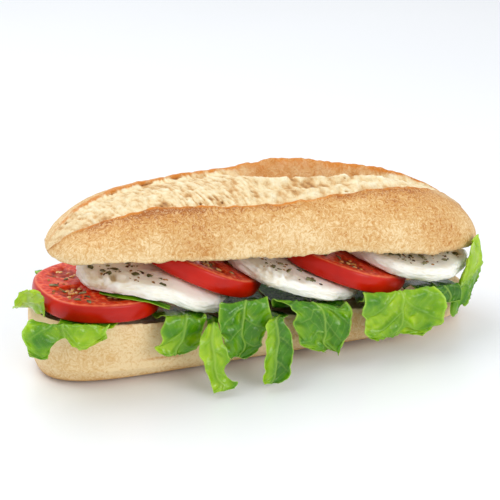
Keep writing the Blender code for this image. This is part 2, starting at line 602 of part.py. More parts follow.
def leaves():
    """Every lettuce leaf, as rows from root to tip.

    A row is its left and its right margin's x, y, z, and its ruffles' height. The hem
    says how far each stretch of the width, from left to right, reaches along the rows.
    """
    return {
        "lettuce_left_front": {
            "rows": [(-112, 47, 30, -88, 47, 30, 2.2), (-116, 42, 38, -86, 42, 38, 1.0)]
            + [over_rim(-100, 1, 15), laid(-98, 22, 14), laid(-98, 0, 14), laid(-100, -20, 15)]
            + [over_rim(-104, -1, 16), (-129, -41.5, 43.5, -98, -44, 37.2, 0.4)]
            + [(-137, -45, 47.5, -97.5, -47, 41.5, 0.8), (-140, -46.5, 41, -98.5, -47.5, 38, 1.2)]
            + [(-138, -47, 34, -103, -48, 33, 1.3), (-132, -47, 29, -107, -48, 29.5, 1.2)],
            "hem": (0.93, 1.0, 0.92, 0.84, 0.93, 0.97, 0.86),
            "waves": 4, "phase": 0.6, "cup": -0.25, "grid": BROAD_GRID,
        },
        "lettuce_left_end": {
            "rows": [(-117.7, 5.7, 38.4, -114.3, -5.7, 38.4, 0.1), (-123.3, 5.7, 38.8, -118.7, -9.7, 38.8, 0.1)]
            + [(-132, -1.5, 39.5, -121, -12.5, 39.5, 0.1), (-135.5, -11.6, 42, -122, -16.4, 42, 0.4)]
            + [(-138, -18.5, 47, -124, -22, 48, 0.8), (-137.5, -23.5, 53, -125, -26.5, 54, 1.0)]
            + [(-134.5, -26, 57.5, -127.5, -28, 58, 0.8)],
            "hem": (0.95, 1.0, 1.0, 0.95),
            "waves": 3, "phase": 2.0, "cup": 0.4, "grid": SMALL_GRID,
        },
        "lettuce_on_tomato": {
            "rows": [(-64.5, -40.8, 42.6, -62.5, -36.2, 42.6, 0.1), (-72.2, -37.5, 45.6, -69.8, -32.1, 45.6, 0.1)]
            + [(-81.4, -34, 47.6, -78.6, -27.6, 47.6, 0.1), (-89.2, -28.5, 48.1, -86.8, -23.1, 48.1, 0.1)]
            + [(-95.8, -22.8, 48.6, -94.2, -19.2, 48.6, 0.1)],
            "hem": (1.0, 1.0),
            "waves": 2, "phase": 0.0, "cup": -0.2, "grid": SMALL_GRID, "on_top": True,
        },
        "lettuce_under_cheese": {
            "rows": [laid(-56, -12, 13, 4), laid(-57, -25, 13, 8), over_rim(-57, -1, 12, 5)]
            + [(-68, -42.5, 40, -46.5, -43, 38.5, 0.4), (-68.5, -45.5, 39, -47, -46, 36, 0.7)]
            + [(-71, -46, 30, -48, -46, 28.5, 1.0), (-73.4, -46, 26, -51, -46, 24, 1.0)]
            + [(-70.5, -45.5, 21.5, -57, -45.5, 20, 0.8), (-67, -45, 19.2, -61.5, -45, 18.8, 0.5)],
            "hem": (1.0, 1.0),
            "waves": 3, "phase": 0.9, "cup": -0.3, "grid": NARROW_GRID,
        },
        "lettuce_centre": {
            "rows": [laid(-20, 24, 12), laid(-20, 0, 16, 4), laid(-22, -24, 16, 8), over_rim(-25, -1, 14, 5)]
            + [(-38, -43, 40, -14, -43, 39, 0.4), (-39.5, -47.5, 45, -15, -47.5, 44, 0.8)]
            + [(-42.5, -49.5, 38, -14.8, -50, 37, 1.1), (-42.5, -50, 31.5, -15.5, -50.5, 30.5, 1.3)]
            + [(-39.5, -50, 25, -18.5, -50.5, 24.5, 1.3), (-37.5, -49.5, 19.5, -19.5, -50, 18.5, 1.2)]
            + [(-35, -49, 14.5, -27, -49, 13.8, 1.0)],
            "hem": (1.0, 1.0),
            "waves": 4, "phase": 2.2, "cup": -0.35, "grid": BROAD_GRID,
        },
        "lettuce_long_tip": {
            "rows": [laid(-40, -25, 3), over_rim(-41, -1, 3, 1.2), (-46, -44.5, 31.6, -41, -44.5, 31.6, 0.2)]
            + [(-48.5, -54, 38, -43.5, -54, 38, 0.2), (-51.5, -56, 34.5, -43, -56, 34, 0.6)]
            + [(-54.2, -56.5, 27.5, -41, -57, 26, 1.0), (-53, -57, 21, -38.5, -57, 19.5, 1.1)]
            + [(-50.7, -57.5, 14.5, -41.5, -57.5, 14, 0.9), (-49.5, -58.5, 9, -39.5, -58.5, 8.5, 0.7)]
            + [(-49.5, -60, 5, -35.5, -60, 6.5, 0.5), (-48.5, -61.5, 2.8, -37.5, -61.5, 3.6, 0.3)],
            "hem": (1.0, 1.0),
            "waves": 4, "phase": 0.3, "cup": -0.4, "grid": NARROW_GRID,
        },
        "lettuce_fold": {
            "rows": [laid(-7, -25, 4), over_rim(-7, -1, 5, 1.6), (-10.8, -47.5, 33, -3.5, -47.5, 33, 0.1)]
            + [(-18.5, -57, 37, -9, -57, 37.5, 0.4), (-20.5, -59.5, 32.5, -7.5, -59.5, 32.5, 0.8)]
            + [(-21.3, -60, 26, -5.5, -60, 25.5, 1.0), (-22, -60, 19, -6, -60, 18, 1.0)]
            + [(-23, -60.5, 12, -7, -60.5, 11, 0.8), (-23.5, -61, 6.5, -9, -61, 6, 0.5)]
            + [(-22, -61.5, 3.8, -14, -61.5, 3.4, 0.3)],
            "hem": (1.0, 1.0),
            "waves": 2.5, "phase": 1.1, "cup": -0.9, "grid": NARROW_GRID,
        },
        "lettuce_right_centre": {
            "rows": [(6, 47, 21, 30, 47, 21, 2.2), (3, 42.5, 28.5, 33, 42.5, 28.5, 1.0), over_rim(18, 1, 15)]
            + [laid(17, 22, 16), laid(17, 0, 18, 4), laid(17, -22, 19, 8), over_rim(12, -1, 20, 4)]
            + [(-11, -42, 40.5, 31, -43, 33, 0.5), (-5, -45.5, 38, 32, -46.5, 31, 0.9)]
            + [(0.5, -46.5, 31.5, 32.3, -47.5, 25.5, 1.2), (0.5, -47, 24.5, 32, -48, 20, 1.4)]
            + [(2, -47, 18, 29.5, -47.5, 14, 1.4), (12, -46.5, 11.5, 27, -47, 9, 1.2)]
            + [(17, -46, 8, 24.5, -46.5, 6.8, 1.0)],
            "hem": (1.0, 1.0),
            "waves": 4, "phase": 3.0, "cup": -0.3, "grid": BROAD_GRID,
        },
        "lettuce_broad": {
            "rows": [(56, 47, 17, 80, 47, 17, 2.2), (53, 43, 24.5, 83, 43, 24.5, 1.0), over_rim(67, 1, 16)]
            + [laid(66, 22, 17), laid(63, 0, 13, 4), laid(59, -22, 14, 8), over_rim(59, -1, 19, 5)]
            + [(39, -43, 31, 80, -43, 28, 0.5), (37.5, -47.5, 38, 80.5, -47.5, 37, 0.9)]
            + [(36, -50, 35.5, 82.5, -50, 32.5, 1.1), (36, -50.5, 29, 83, -50.5, 26, 1.3)]
            + [(36.8, -50, 23, 81.5, -50, 19.5, 1.3), (39.5, -49.5, 17, 76.5, -49.5, 14, 1.2)]
            + [(45, -49, 12.8, 70, -49, 11.6, 1.0)],
            "hem": (1.0, 1.0),
            "waves": 4, "phase": 1.4, "cup": -0.25, "grid": BROAD_GRID,
        },
        "lettuce_right_end": {
            "rows": [(97.5, -14, 20.6, 104.5, -13, 20.0, 0.1), (96, -33, 22, 104, -27, 26, 0.2)]
            + [(96, -37, 13, 106.3, -33.5, 47, 0.7), (102, -35, 11.5, 110.5, -31.5, 53, 1.1)]
            + [(109, -32, 16, 115, -28.5, 54, 1.2), (115, -28, 21, 119, -25, 52.5, 1.3)]
            + [(118.5, -25, 27, 121, -20.5, 46, 1.4)],
            "hem": (0.97, 1.0, 0.95, 1.0, 0.95),
            "waves": 3, "phase": 0.4, "cup": 0.3, "grid": NARROW_GRID, "reach": 1.2,
        },
        "lettuce_right_front": {
            "rows": [laid(89, -6, 10, 8), laid(88, -19, 12, 12), over_rim(87, -1, 13, 10)]
            + [(75, -39, 31, 98, -36.5, 30, 0.4), (79, -40.5, 33, 99, -38.5, 33, 0.6)]
            + [(85, -41.5, 28, 99.5, -40, 27.5, 0.8), (86, -41.5, 23, 98, -40.5, 23.5, 0.8)],
            "hem": (1.0, 1.0),
            "waves": 3, "phase": 2.6, "cup": -0.2, "grid": SMALL_GRID,
        },
    }


def main():
    clear_scene()
    crust = food_material("crust", (0.62, 0.36, 0.15), 0.75)
    tomato = food_material("tomato", (0.55, 0.03, 0.015), 0.3)
    cheese = food_material("mozzarella", (0.86, 0.82, 0.74), 0.5)
    lettuce = food_material("lettuce", (0.16, 0.36, 0.03), 0.45)
    lower_bun(crust)
    upper_bun(crust)
    first = tomato_slice("tomato_1", TOMATO_1, 0.4, tomato)
    second = tomato_slice("tomato_2", TOMATO_2, 1.9, tomato)
    third = tomato_slice("tomato_3", TOMATO_3, 3.1, tomato)
    left = cheese_slice("mozzarella_1", CHEESE_1, cheese_1_height, cheese)
    middle = cheese_slice("mozzarella_2", CHEESE_2, cheese_2_height, cheese)
    right = cheese_slice("mozzarella_3", CHEESE_3, cheese_3_height, cheese)
    strew_herbs(first, TOMATO_1, CHEESE_1, (-118, -94, -32, 6), 6, 21)
    strew_herbs(second, TOMATO_2, CHEESE_2, (-48, -26, -36, -18), 3, 4)
    strew_herbs(third, TOMATO_3, CHEESE_3, (26, 50, -38, -20), 3, 6)
    strew_herbs(left, CHEESE_1, TOMATO_2, (-100, -50, -40, -6), 7, 12)
    strew_herbs(middle, CHEESE_2, TOMATO_3, (-18, 20, -42, -16), 7, 9)
    strew_herbs(right, CHEESE_3, None, (56, 112, -37, -14), 10, 5)
    for name, leaf in leaves().items():
        leaf_solid(name, leaf, lettuce)


main()
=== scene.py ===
# %% [markdown]
# # A submarine sandwich, dressed for its picture
#
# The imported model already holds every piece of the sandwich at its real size: two
# halves of a roll, three tomato slices, three mozzarella slices and eleven lettuce
# leaves. This lesson gives each of them a finer skin and a real finish. Nothing is
# moved: each new mesh stands exactly where its plain solid stands.

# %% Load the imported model
import itertools
import math

import bpy
import numpy as np
from mathutils import Matrix, Vector


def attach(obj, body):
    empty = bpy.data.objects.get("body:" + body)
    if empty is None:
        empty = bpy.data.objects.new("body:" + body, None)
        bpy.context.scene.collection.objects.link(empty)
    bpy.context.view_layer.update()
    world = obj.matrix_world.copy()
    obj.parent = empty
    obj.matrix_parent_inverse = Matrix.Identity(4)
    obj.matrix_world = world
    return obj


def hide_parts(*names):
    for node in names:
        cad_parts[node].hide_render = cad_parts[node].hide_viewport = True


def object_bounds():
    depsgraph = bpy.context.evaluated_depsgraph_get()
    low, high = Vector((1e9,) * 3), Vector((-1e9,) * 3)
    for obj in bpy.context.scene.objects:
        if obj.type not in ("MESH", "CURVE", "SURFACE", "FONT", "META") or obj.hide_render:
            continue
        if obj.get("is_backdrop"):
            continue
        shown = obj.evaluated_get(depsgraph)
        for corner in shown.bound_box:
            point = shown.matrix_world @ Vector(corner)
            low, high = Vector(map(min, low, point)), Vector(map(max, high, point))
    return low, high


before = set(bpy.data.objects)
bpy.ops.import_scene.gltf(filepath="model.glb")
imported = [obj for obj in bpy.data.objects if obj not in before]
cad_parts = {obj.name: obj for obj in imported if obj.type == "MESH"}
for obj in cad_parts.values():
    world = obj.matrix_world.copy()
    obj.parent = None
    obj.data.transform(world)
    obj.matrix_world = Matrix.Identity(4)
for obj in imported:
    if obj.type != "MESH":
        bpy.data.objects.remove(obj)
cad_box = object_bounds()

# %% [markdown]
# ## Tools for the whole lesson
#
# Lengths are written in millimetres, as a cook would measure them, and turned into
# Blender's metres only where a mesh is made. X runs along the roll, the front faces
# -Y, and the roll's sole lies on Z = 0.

MM = 0.001


# %% [markdown]
# ### Curves
#
# A few small functions describe every outline: a curve through evenly spaced knots,
# a bell-shaped bump, and a soft step. They take numbers or whole arrays, so the same
# formula can be read at one place or at a hundred thousand.

# %% Curves and steps
def smooth_curve(knots, t):
    """A Catmull-Rom curve through evenly spaced knots, read at t from 0 to 1."""
    knots = np.asarray(knots, float)
    place = np.clip(t, 0.0, 1.0) * (len(knots) - 1)
    i = np.minimum(np.floor(place).astype(int), len(knots) - 2)
    f = np.asarray(place - i)
    line = np.concatenate([[2 * knots[0] - knots[1]], knots, [2 * knots[-1] - knots[-2]]])
    before, a, b, after = (line[i + k] for k in range(4))
    if knots.ndim > 1:
        f = f[..., None]
    return 0.5 * (
        2 * a
        + (b - before) * f
        + (2 * before - 5 * a + 4 * b - after) * f**2
        + (3 * a - before - 3 * b + after) * f**3
    )


def bump(x, centre, width):
    return np.exp(-(((x - centre) / width) ** 2))


def waves_at(x, waves):
    return sum(height * bump(x, centre, width) for height, centre, width in waves)


def blend_step(x, start, end):
    t = np.clip((x - start) / (end - start), 0.0, 1.0)
    return t * t * (3 - 2 * t)


def mixed(a, b, share):
    return a + (b - a) * share


# %% [markdown]
# ### Noise
#
# Bread, leaves and cheese are uneven at every scale. Two kinds of noise give that:
# a soft one that drifts up and down over a chosen distance, and a cellular one, the
# distance to the nearest of many scattered points, for lumps and holes. Both are
# worked out from whole numbers alone, so every run gives the same sandwich.

# %% Noise in space
def scattered(cell, seed):
    """An even random number from 0 to 1 for each whole-numbered cell."""
    i, j, k = cell[..., 0], cell[..., 1], cell[..., 2]
    h = (i * 374761393 + j * 668265263 + k * 1103515245 + seed * 1274126177) & 0xFFFFFFFF
    h = ((h ^ (h >> 13)) * 1274126177) & 0xFFFFFFFF
    return ((h ^ (h >> 16)) & 0xFFFFFF) / 0xFFFFFF


def soft_noise(points, size, seed=0):
    """From -1 to 1, changing over about `size` millimetres."""
    q = np.asarray(points, float) / size
    cell = np.floor(q).astype(np.int64)
    f = q - cell
    f = f * f * (3 - 2 * f)
    total = 0.0
    for corner in itertools.product((0, 1), repeat=3):
        weight = np.prod(np.where(np.array(corner, bool), f, 1 - f), axis=-1)
        total = total + weight * scattered(cell + np.array(corner), seed)
    return 2 * total - 1


def layered_noise(points, size, layers, seed=0):
    return sum(soft_noise(points, size / 2**k, seed + 17 * k) / 2**k for k in range(layers))


def nearest_spot(points, size, seed=0):
    """Distance to the nearest of many scattered points, one in each cell of `size`."""
    q = np.asarray(points, float) / size
    cell = np.floor(q).astype(np.int64)
    nearest = np.full(q.shape[:-1], 9.0)
    for offset in itertools.product((-1, 0, 1), repeat=3):
        near = cell + np.array(offset)
        spot = near + np.stack([scattered(near, seed + k) for k in range(3)], -1)
        nearest = np.minimum(nearest, np.linalg.norm(q - spot, axis=-1))
    return nearest


# %% [markdown]
# ### Meshes from rows of points
#
# Almost every piece here is a grid of points: rings along a roll, rings out from a
# slice's middle, rows up a leaf. One function makes the faces of such a grid, one
# closes a tube of rings with a point at each end, and one turns points and faces
# into a Blender object. The last one also hides the imported nodes that the piece
# replaces and stores a number for each point, such as how baked it is, for the
# materials.

# %% Grid and tube faces
def grid_faces(rows, columns, closed=False):
    i = np.arange(rows - 1)[:, None] * columns
    j = np.arange(columns if closed else columns - 1)[None, :]
    k = (j + 1) % columns
    return np.stack([i + j, i + k, i + columns + k, i + columns + j], -1).reshape(-1, 4)


def tube(rings, first_pole, last_pole):
    """Points and faces of closed rings joined in a row, with a point at each end."""
    rows, columns = rings.shape[:2]
    points = np.concatenate([rings.reshape(-1, 3), [first_pole], [last_pole]])
    here = np.arange(columns)
    after = (here + 1) % columns
    last = (rows - 1) * columns
    start = np.stack([np.full(columns, rows * columns), after, here], -1)
    end = np.stack([np.full(columns, rows * columns + 1), last + here, last + after], -1)
    return points, [grid_faces(rows, columns, True), start, end]


def ring_normals(rings):
    """Unit normals of rings of points, pointing away from their middle."""
    across = np.roll(rings, -1, 1) - np.roll(rings, 1, 1)
    normal = np.cross(across, np.gradient(rings, axis=0))
    normal /= np.maximum(np.linalg.norm(normal, axis=-1, keepdims=True), 1e-9)
    outward = rings - rings.mean(axis=1, keepdims=True)
    return normal if (normal * outward).sum() > 0 else -normal


# %% Making a piece
def signed_volume(points, faces):
    total = 0.0
    for group in faces:
        for k in range(1, group.shape[1] - 1):
            a, b, c = points[group[:, 0]], points[group[:, k]], points[group[:, k + 1]]
            total += np.einsum("ij,ij->i", a, np.cross(b, c)).sum() / 6
    return total


def make_piece(name, points, faces, material, slot, nodes=(), fields=None):
    """A closed mesh that rides with the sandwich and stands for the given nodes."""
    points = np.asarray(points, float)
    if signed_volume(points, faces) < 0:
        faces = [group[:, ::-1] for group in faces]
    mesh = bpy.data.meshes.new(name)
    every_face = [face for group in faces for face in group.tolist()]
    mesh.from_pydata((points * MM).tolist(), [], every_face)
    for key, values in (fields or {}).items():
        layer = mesh.attributes.new(key, "FLOAT", "POINT")
        layer.data.foreach_set("value", np.asarray(values, np.float32).ravel())
    mesh.materials.append(material)
    mesh.shade_smooth()
    piece = bpy.data.objects.new(name, mesh)
    bpy.context.scene.collection.objects.link(piece)
    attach(piece, "root")
    if nodes:
        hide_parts(*nodes)
    triangles = sum(len(face) - 2 for face in every_face)
    print(f"{name}: {triangles} triangles")
    return piece


# %% [markdown]
# ### Materials
#
# Colours are written as sRGB hex values, as a colour picker gives them, and one
# function turns them into the linear values that Blender's shaders expect. One more
# function adds any node with its settings and links, so each material below reads as
# a list of what is mixed with what. Object coordinates count in metres, so the scale
# of a noise is one over the size of its spots in metres.

# %% Colours and nodes
MULTIPLY, MULTIPLY_ADD = {"operation": "MULTIPLY"}, {"operation": "MULTIPLY_ADD"}


def linear(hex_colour):
    """Linear red, green, blue and alpha of an sRGB hex colour."""
    parts = [int(hex_colour[i:i + 2], 16) / 255 for i in (1, 3, 5)]
    return tuple(c / 12.92 if c <= 0.04045 else ((c + 0.055) / 1.055) ** 2.4 for c in parts) + (1.0,)


def spots_of(size):
    """The noise scale that gives spots of this size in millimetres."""
    return 1 / (size * MM)


def add_node(tree, kind, settings=None, inputs=None, stops=None):
    """A shader node; an input given as a node or as one of its outputs is linked."""
    node = tree.nodes.new("ShaderNode" + kind)
    for key, value in (settings or {}).items():
        setattr(node, key, value)
    for key, value in (inputs or {}).items():
        if isinstance(value, bpy.types.Node):
            value = value.outputs[0]
        if isinstance(value, bpy.types.NodeSocket):
            tree.links.new(value, node.inputs[key])
        else:
            node.inputs[key].default_value = value
    if stops:
        ramp = node.color_ramp
        while len(ramp.elements) < len(stops):
            ramp.elements.new(1.0)
        for element, (position, colour) in zip(ramp.elements, stops):
            element.position = position
            element.color = linear(colour)
    return node


# %% A new material
def new_material(name, constants, fields=()):
    """A material's tree, shader, object coordinates and the mesh's stored numbers."""
    material = bpy.data.materials.new(name)
    material.use_nodes = True
    tree = material.node_tree
    shader = tree.nodes["Principled BSDF"]
    for key, value in constants.items():
        shader.inputs[key].default_value = value
    place = add_node(tree, "TexCoord").outputs["Object"]
    reading = {
        key: add_node(tree, "Attribute", {"attribute_name": key}).outputs["Fac"] for key in fields
    }
    return material, tree, shader, place, reading


def finish(tree, shader, colour, relief=None):
    """Link a colour and, if there is one, a bump to the shader."""
    tree.links.new(colour.outputs[0], shader.inputs["Base Color"])
    if relief:
        tree.links.new(relief.outputs[0], shader.inputs["Normal"])


# %% [markdown]
# ### What each bread finish is
#
# A baguette crust is dough skin that dried and browned in a hot oven: matt, slightly
# rough, and freckled, with pale flour-dusted flecks beside golden ones about a
# millimetre across. Where the loaf was scored it tore open, and the crumb inside is
# nearly white with toasted tips. Both sides of the roll share one material. Numbers
# stored on the mesh say where it is crumb, where it is a toasted edge, and how far
# the crust is baked.

# %% Colour of the crust
def crust_colour(tree, place, reading, freckles, warped):
    """Dough skin, pale where the flour lies and browner where it is baked longer."""
    broad = add_node(tree, "TexNoise", None, {"Vector": place, "Scale": spots_of(29.4), "Detail": 3.0})
    baked = add_node(tree, "Math", MULTIPLY_ADD, {0: broad, 1: 0.4, 2: reading["bake"]})
    base = add_node(tree, "Math", {"operation": "ADD"}, {0: baked, 1: 0.47})
    contrast = add_node(tree, "Math", MULTIPLY_ADD, {0: reading["flour"], 1: 0.5, 2: 0.4})
    speckles = add_node(tree, "Math", {"operation": "SUBTRACT"}, {0: freckles, 1: 0.5})
    tone = add_node(tree, "Math", MULTIPLY_ADD, {0: speckles, 1: contrast, 2: base})
    skin = add_node(
        tree, "ValToRGB", None, {"Fac": tone},
        stops=[(0.5, "#ebd0a0"), (0.67, "#d6aa6a"), (0.84, "#c28640"), (1.0, "#a05c1c")],
    )
    # Flour left in thin worm-like lines, where a second noise crosses its middle value.
    worms = add_node(tree, "TexNoise", None, {"Vector": warped, "Scale": spots_of(2.08), "Detail": 3.0})
    off_middle = add_node(tree, "Math", {"operation": "SUBTRACT"}, {0: worms, 1: 0.5})
    off_middle = add_node(tree, "Math", {"operation": "ABSOLUTE"}, {0: off_middle})
    line = add_node(
        tree, "MapRange", None,
        {"Value": off_middle, "From Min": 0.006, "From Max": 0.035, "To Min": 0.42, "To Max": 0.0},
    )
    flour = add_node(tree, "Math", MULTIPLY, {0: line, 1: reading["flour"]})
    return add_node(tree, "MixRGB", None, {"Fac": flour, "Color1": skin, "Color2": linear("#f4dcae")})


# %% [markdown]
# Crumb is the soft inside of the bread. It never gets hot enough to brown, so it is
# pale, and only its tips near the score are toasted. The bread material mixes the two
# and adds one bump: fine on the skin and coarse on the crumb. Bread is matt, so its
# roughness is high, and its IOR is that of starch, about 1.45.

# %% Baked wheat bread
def crumb_colour(tree, reading, freckles):
    """Crumb colour: pale on its tips, and tan where painted shade darkens its furrows, pits and slots."""
    tone = add_node(tree, "Math", MULTIPLY_ADD, {0: freckles, 1: 0.35, 2: reading["groove"]})
    return add_node(
        tree, "ValToRGB", None, {"Fac": tone},
        stops=[(0.08, "#f6eac8"), (0.36, "#ead2a2"), (0.6, "#cc9c60"), (0.92, "#824c1c")],
    )


def wheat_bread():
    material, tree, shader, place, reading = new_material(
        "baked_wheat_bread", {"Roughness": 0.62, "IOR": 1.45}, ("crumb", "edge", "bake", "groove", "flour")
    )
    # Freckles of 1 to 2 mm, drawn out a little by a slow warp.
    warp = add_node(tree, "TexNoise", None, {"Vector": place, "Scale": spots_of(6.25), "Detail": 2.0})
    warped = add_node(
        tree, "MixRGB", {"blend_type": "LINEAR_LIGHT"},
        {"Fac": 0.006, "Color1": place, "Color2": warp.outputs["Color"]},
    )
    freckles = add_node(
        tree, "TexNoise", None,
        {"Vector": warped, "Scale": spots_of(1.61), "Detail": 3.0, "Roughness": 0.62},
    )
    crust = crust_colour(tree, place, reading, freckles, warped)
    crumb = crumb_colour(tree, reading, freckles)
    bare = add_node(tree, "MixRGB", None, {"Fac": reading["crumb"], "Color1": crust, "Color2": crumb})
    # A toasted edge: where the score's skin curled up in the heat.
    uneven = add_node(tree, "Math", MULTIPLY_ADD, {0: freckles, 1: 1.6, 2: 0.2})
    edge = add_node(
        tree, "Math", {"operation": "MULTIPLY", "use_clamp": True}, {0: uneven, 1: reading["edge"]}
    )
    toasted = add_node(tree, "MixRGB", None, {"Fac": edge, "Color1": bare, "Color2": linear("#d07e24")})
    # The crumb is rougher to the touch than the skin.
    coarse = add_node(tree, "Math", MULTIPLY_ADD, {0: reading["crumb"], 1: 1.2, 2: 0.5})
    height = add_node(tree, "Math", MULTIPLY, {0: freckles, 1: coarse})
    relief = add_node(tree, "Bump", None, {"Height": height, "Strength": 0.7, "Distance": 0.0009})
    finish(tree, shader, toasted, relief)
    return material


bread = wheat_bread()


# %% [markdown]
# ## The upper half of the roll
#
# It is a dome with a flat cut face, bent forward at its left end, scored once along
# its top. The front lip of the score and the ear behind it run at their own angles
# round the crust, and between them the crumb stands in ridges, with a deep pocket in
# front of the ear on the right. The sizes and the formulas are those of the packed
# solid, read on a far finer grid. A sculpted mesh would do as well, but a formula
# keeps the true size and can be read again.

# %% Sizes of the roll
ROLL_HALF_WIDTH, LOWER_HALF_WIDTH = 38.0, 37.2
UPPER_CENTRE, UPPER_HALF_LENGTH, UPPER_HEIGHT = 3.0, 122.0, 31.5
LOWER_CENTRE, LOWER_HALF_LENGTH = -4.5, 123.8
RIM_SHARE, LEFT_SOLE_SPREAD = 0.97, 0.2
UPPER_CUT_HEIGHT, UPPER_CUT_SLOPE = 60.6, -0.114
LOWER_CUT_HEIGHT, LOWER_CUT_SLOPE = 28.2, -0.0785
UPPER_DISH, LOWER_DISH = 2.5, 6.0
# How blunt each end is: a power and a root for the left end, then for the right one.
WIDTH_ENDS = ((6.0, 0.42), (4.5, 0.5))
UPPER_HEIGHT_ENDS = ((2.5, 0.66), (4.6, 0.6))
SCORE_ENDS = ((8.0, 1.0), (8.0, 1.0))
UPPER_BEND, UPPER_DROOP = 14.4, 4.0
# Each wave has a height, a place along the roll and a width.
CUT_WAVES = ((3.4, 32.0, 24.0), (1.4, -85.0, 26.0), (-1.0, 84.0, 12.0))
CUT_WAVE_DEPTH = 20.0
EAR_WAVES = ((7.4, 20.0, 30.0), (3.4, 68.0, 26.0))
SCORE_REACH = 123.0
# Angles in degrees, from 0 at the front rim to 180 at the back one, in even steps
# along the score.
SCORE_LIP = (72, 62, 58, 52, 48, 52, 64, 72, 80, 94)
SCORE_EAR = (97, 103, 106, 106, 106, 107, 106, 103, 102, 103)
LIP_RISE = 0.7
CRUST_SQUARENESS = 2 / 2.25


# %% [markdown]
# The width and the height fall off towards the ends by one formula with its own
# bluntness at each end. The cut faces are sloping planes. The upper one droops at its
# left end and its edge waves, and the lower one is pressed hollow.

# %% Width, height and cut of the roll
def end_taper(x, centre, half_length, ends):
    """1 in the middle of the roll, falling to 0 at its ends."""
    share = (np.asarray(x, float) - centre) / half_length
    left = np.maximum(0.0, 1 - np.abs(share) ** ends[0][0]) ** ends[0][1]
    right = np.maximum(0.0, 1 - np.abs(share) ** ends[1][0]) ** ends[1][1]
    return np.where(share < 0, left, right)


def upper_taper(x, ends):
    return end_taper(x, UPPER_CENTRE, UPPER_HALF_LENGTH, ends)


def upper_half_width(x):
    return ROLL_HALF_WIDTH * upper_taper(x, WIDTH_ENDS) * (1 + 0.012 * np.sin(x / 21.0))


def upper_height(x):
    return UPPER_HEIGHT * upper_taper(x, UPPER_HEIGHT_ENDS)


def upper_cut(x, above=0.0):
    """The cut face's plane; its left end droops and its edge waves, less so above it."""
    droop = UPPER_DROOP * np.maximum(0.0, (-85.0 - x) / 35.0) ** 2
    wave = waves_at(x, CUT_WAVES) * np.maximum(0.0, 1 - above / CUT_WAVE_DEPTH)
    return UPPER_CUT_HEIGHT + UPPER_CUT_SLOPE * x - droop + wave


def lower_half_width(x):
    return LOWER_HALF_WIDTH * end_taper(x, LOWER_CENTRE, LOWER_HALF_LENGTH, WIDTH_ENDS)


def lower_cut(x):
    return LOWER_CUT_HEIGHT + LOWER_CUT_SLOPE * x


def lower_deck(x, y):
    """Height of the lower bun's cut face: the crumb is pressed in by the filling."""
    width = np.maximum(lower_half_width(x) * RIM_SHARE, 0.1)
    share = np.minimum(np.abs(y) / width, 1.0)
    return lower_cut(x) - LOWER_DISH * (1 - share**6) * blend_step(width, 8.0, 34.0)


# %% [markdown]
# The score is read from its lip, at 0, to its ear, at 1. On the left it has closed up
# again. On the right it stands open, with two ridges of crumb and then a pocket under
# the ear.

# %% The score
def ear_rise(x):
    """How far the torn edge behind the score stands off the crust."""
    return 1.0 + waves_at(x, EAR_WAVES)


def opened_score(x):
    """1 where the ear stands clear of the crumb and leaves a pocket, else 0."""
    return blend_step(x, -22.0, 0.0) * (1 - blend_step(x, 48.0, 84.0))


def score_relief(x, t):
    """How far the torn crumb stands off the crust's dome, t going from lip to ear."""
    opened = opened_score(x)
    shut = -1.6 + 0.9 * bump(t, 0.55, 0.3)
    ridges = -2.2 + 1.8 * bump(t, 0.3, 0.1) + 3.4 * bump(t, 0.6, 0.1)
    pocket = -6.5 * bump(t, 0.86, 0.1)
    bridge = 2.2 * bump(x, -14.0, 9.0) * bump(t, 0.7, 0.25)
    relief = shut * (1 - opened) + (ridges + pocket) * opened + bridge
    edge = blend_step(t, 0.0, 0.06)
    ear = ear_rise(x) * blend_step(t, 0.88, 1.0)
    relief = relief * (1 - blend_step(t, 0.9, 1.0))
    return upper_taper(x, SCORE_ENDS) * (LIP_RISE * (1 - edge) + edge * relief + ear)


# %% [markdown]
# The grid is even along the roll and gets ever finer towards the blunt ends, where
# the width changes fastest. Round the roll the rows are closest in the score, where
# the most detail shows.

# %% A grid round the upper bun
ROW_STEP = 0.0053
SCORE_STEPS = np.concatenate(
    [np.linspace(0, 0.06, 7)[1:], np.linspace(0.06, 0.78, 52)[1:], np.linspace(0.78, 1, 27)[1:]]
)
FRONT_STEPS = np.linspace(0, 1, 56) ** 0.85
BACK_STEPS = np.linspace(0, 1, 44)[1:]
UNDER_STEPS = np.linspace(0.985, -0.985, 34)


def shares_along(step, end_zone=0.07, power=2.4):
    """Shares of a half length from -1 to 1: even, then ever finer at both ends."""
    inner = np.arange(0, 1 - end_zone, step)
    count = int(power * end_zone / step)
    outer = 1 - end_zone * (1 - np.arange(count) / count) ** power
    half = np.concatenate([inner, outer])
    return np.concatenate([-half[::-1], half[1:]])


def crust_points(x, angle, rise):
    """Points on the upper bun's crust, in its own frame with the cut face at Z = 0."""
    across, up = np.cos(angle), np.sin(angle)
    y = -upper_half_width(x) * np.copysign(np.abs(across) ** CRUST_SQUARENESS, across)
    z = upper_height(x) * np.copysign(np.abs(up) ** CRUST_SQUARENESS, up)
    return np.stack(np.broadcast_arrays(x, y - rise * across * 0.55, z + rise * up), -1)


def line_noise(x, size, seed):
    """Noise along the roll alone."""
    return soft_noise(np.stack([x, 0 * x, 0 * x], -1), size, seed)


# %% [markdown]
# A score never tears straight. Its lip wanders by about a millimetre, and the ear's
# crest is ragged. The left stretch of crumb was drawn out in fine slanting fibres,
# and the right stretch burst into ridges with small bubbles.

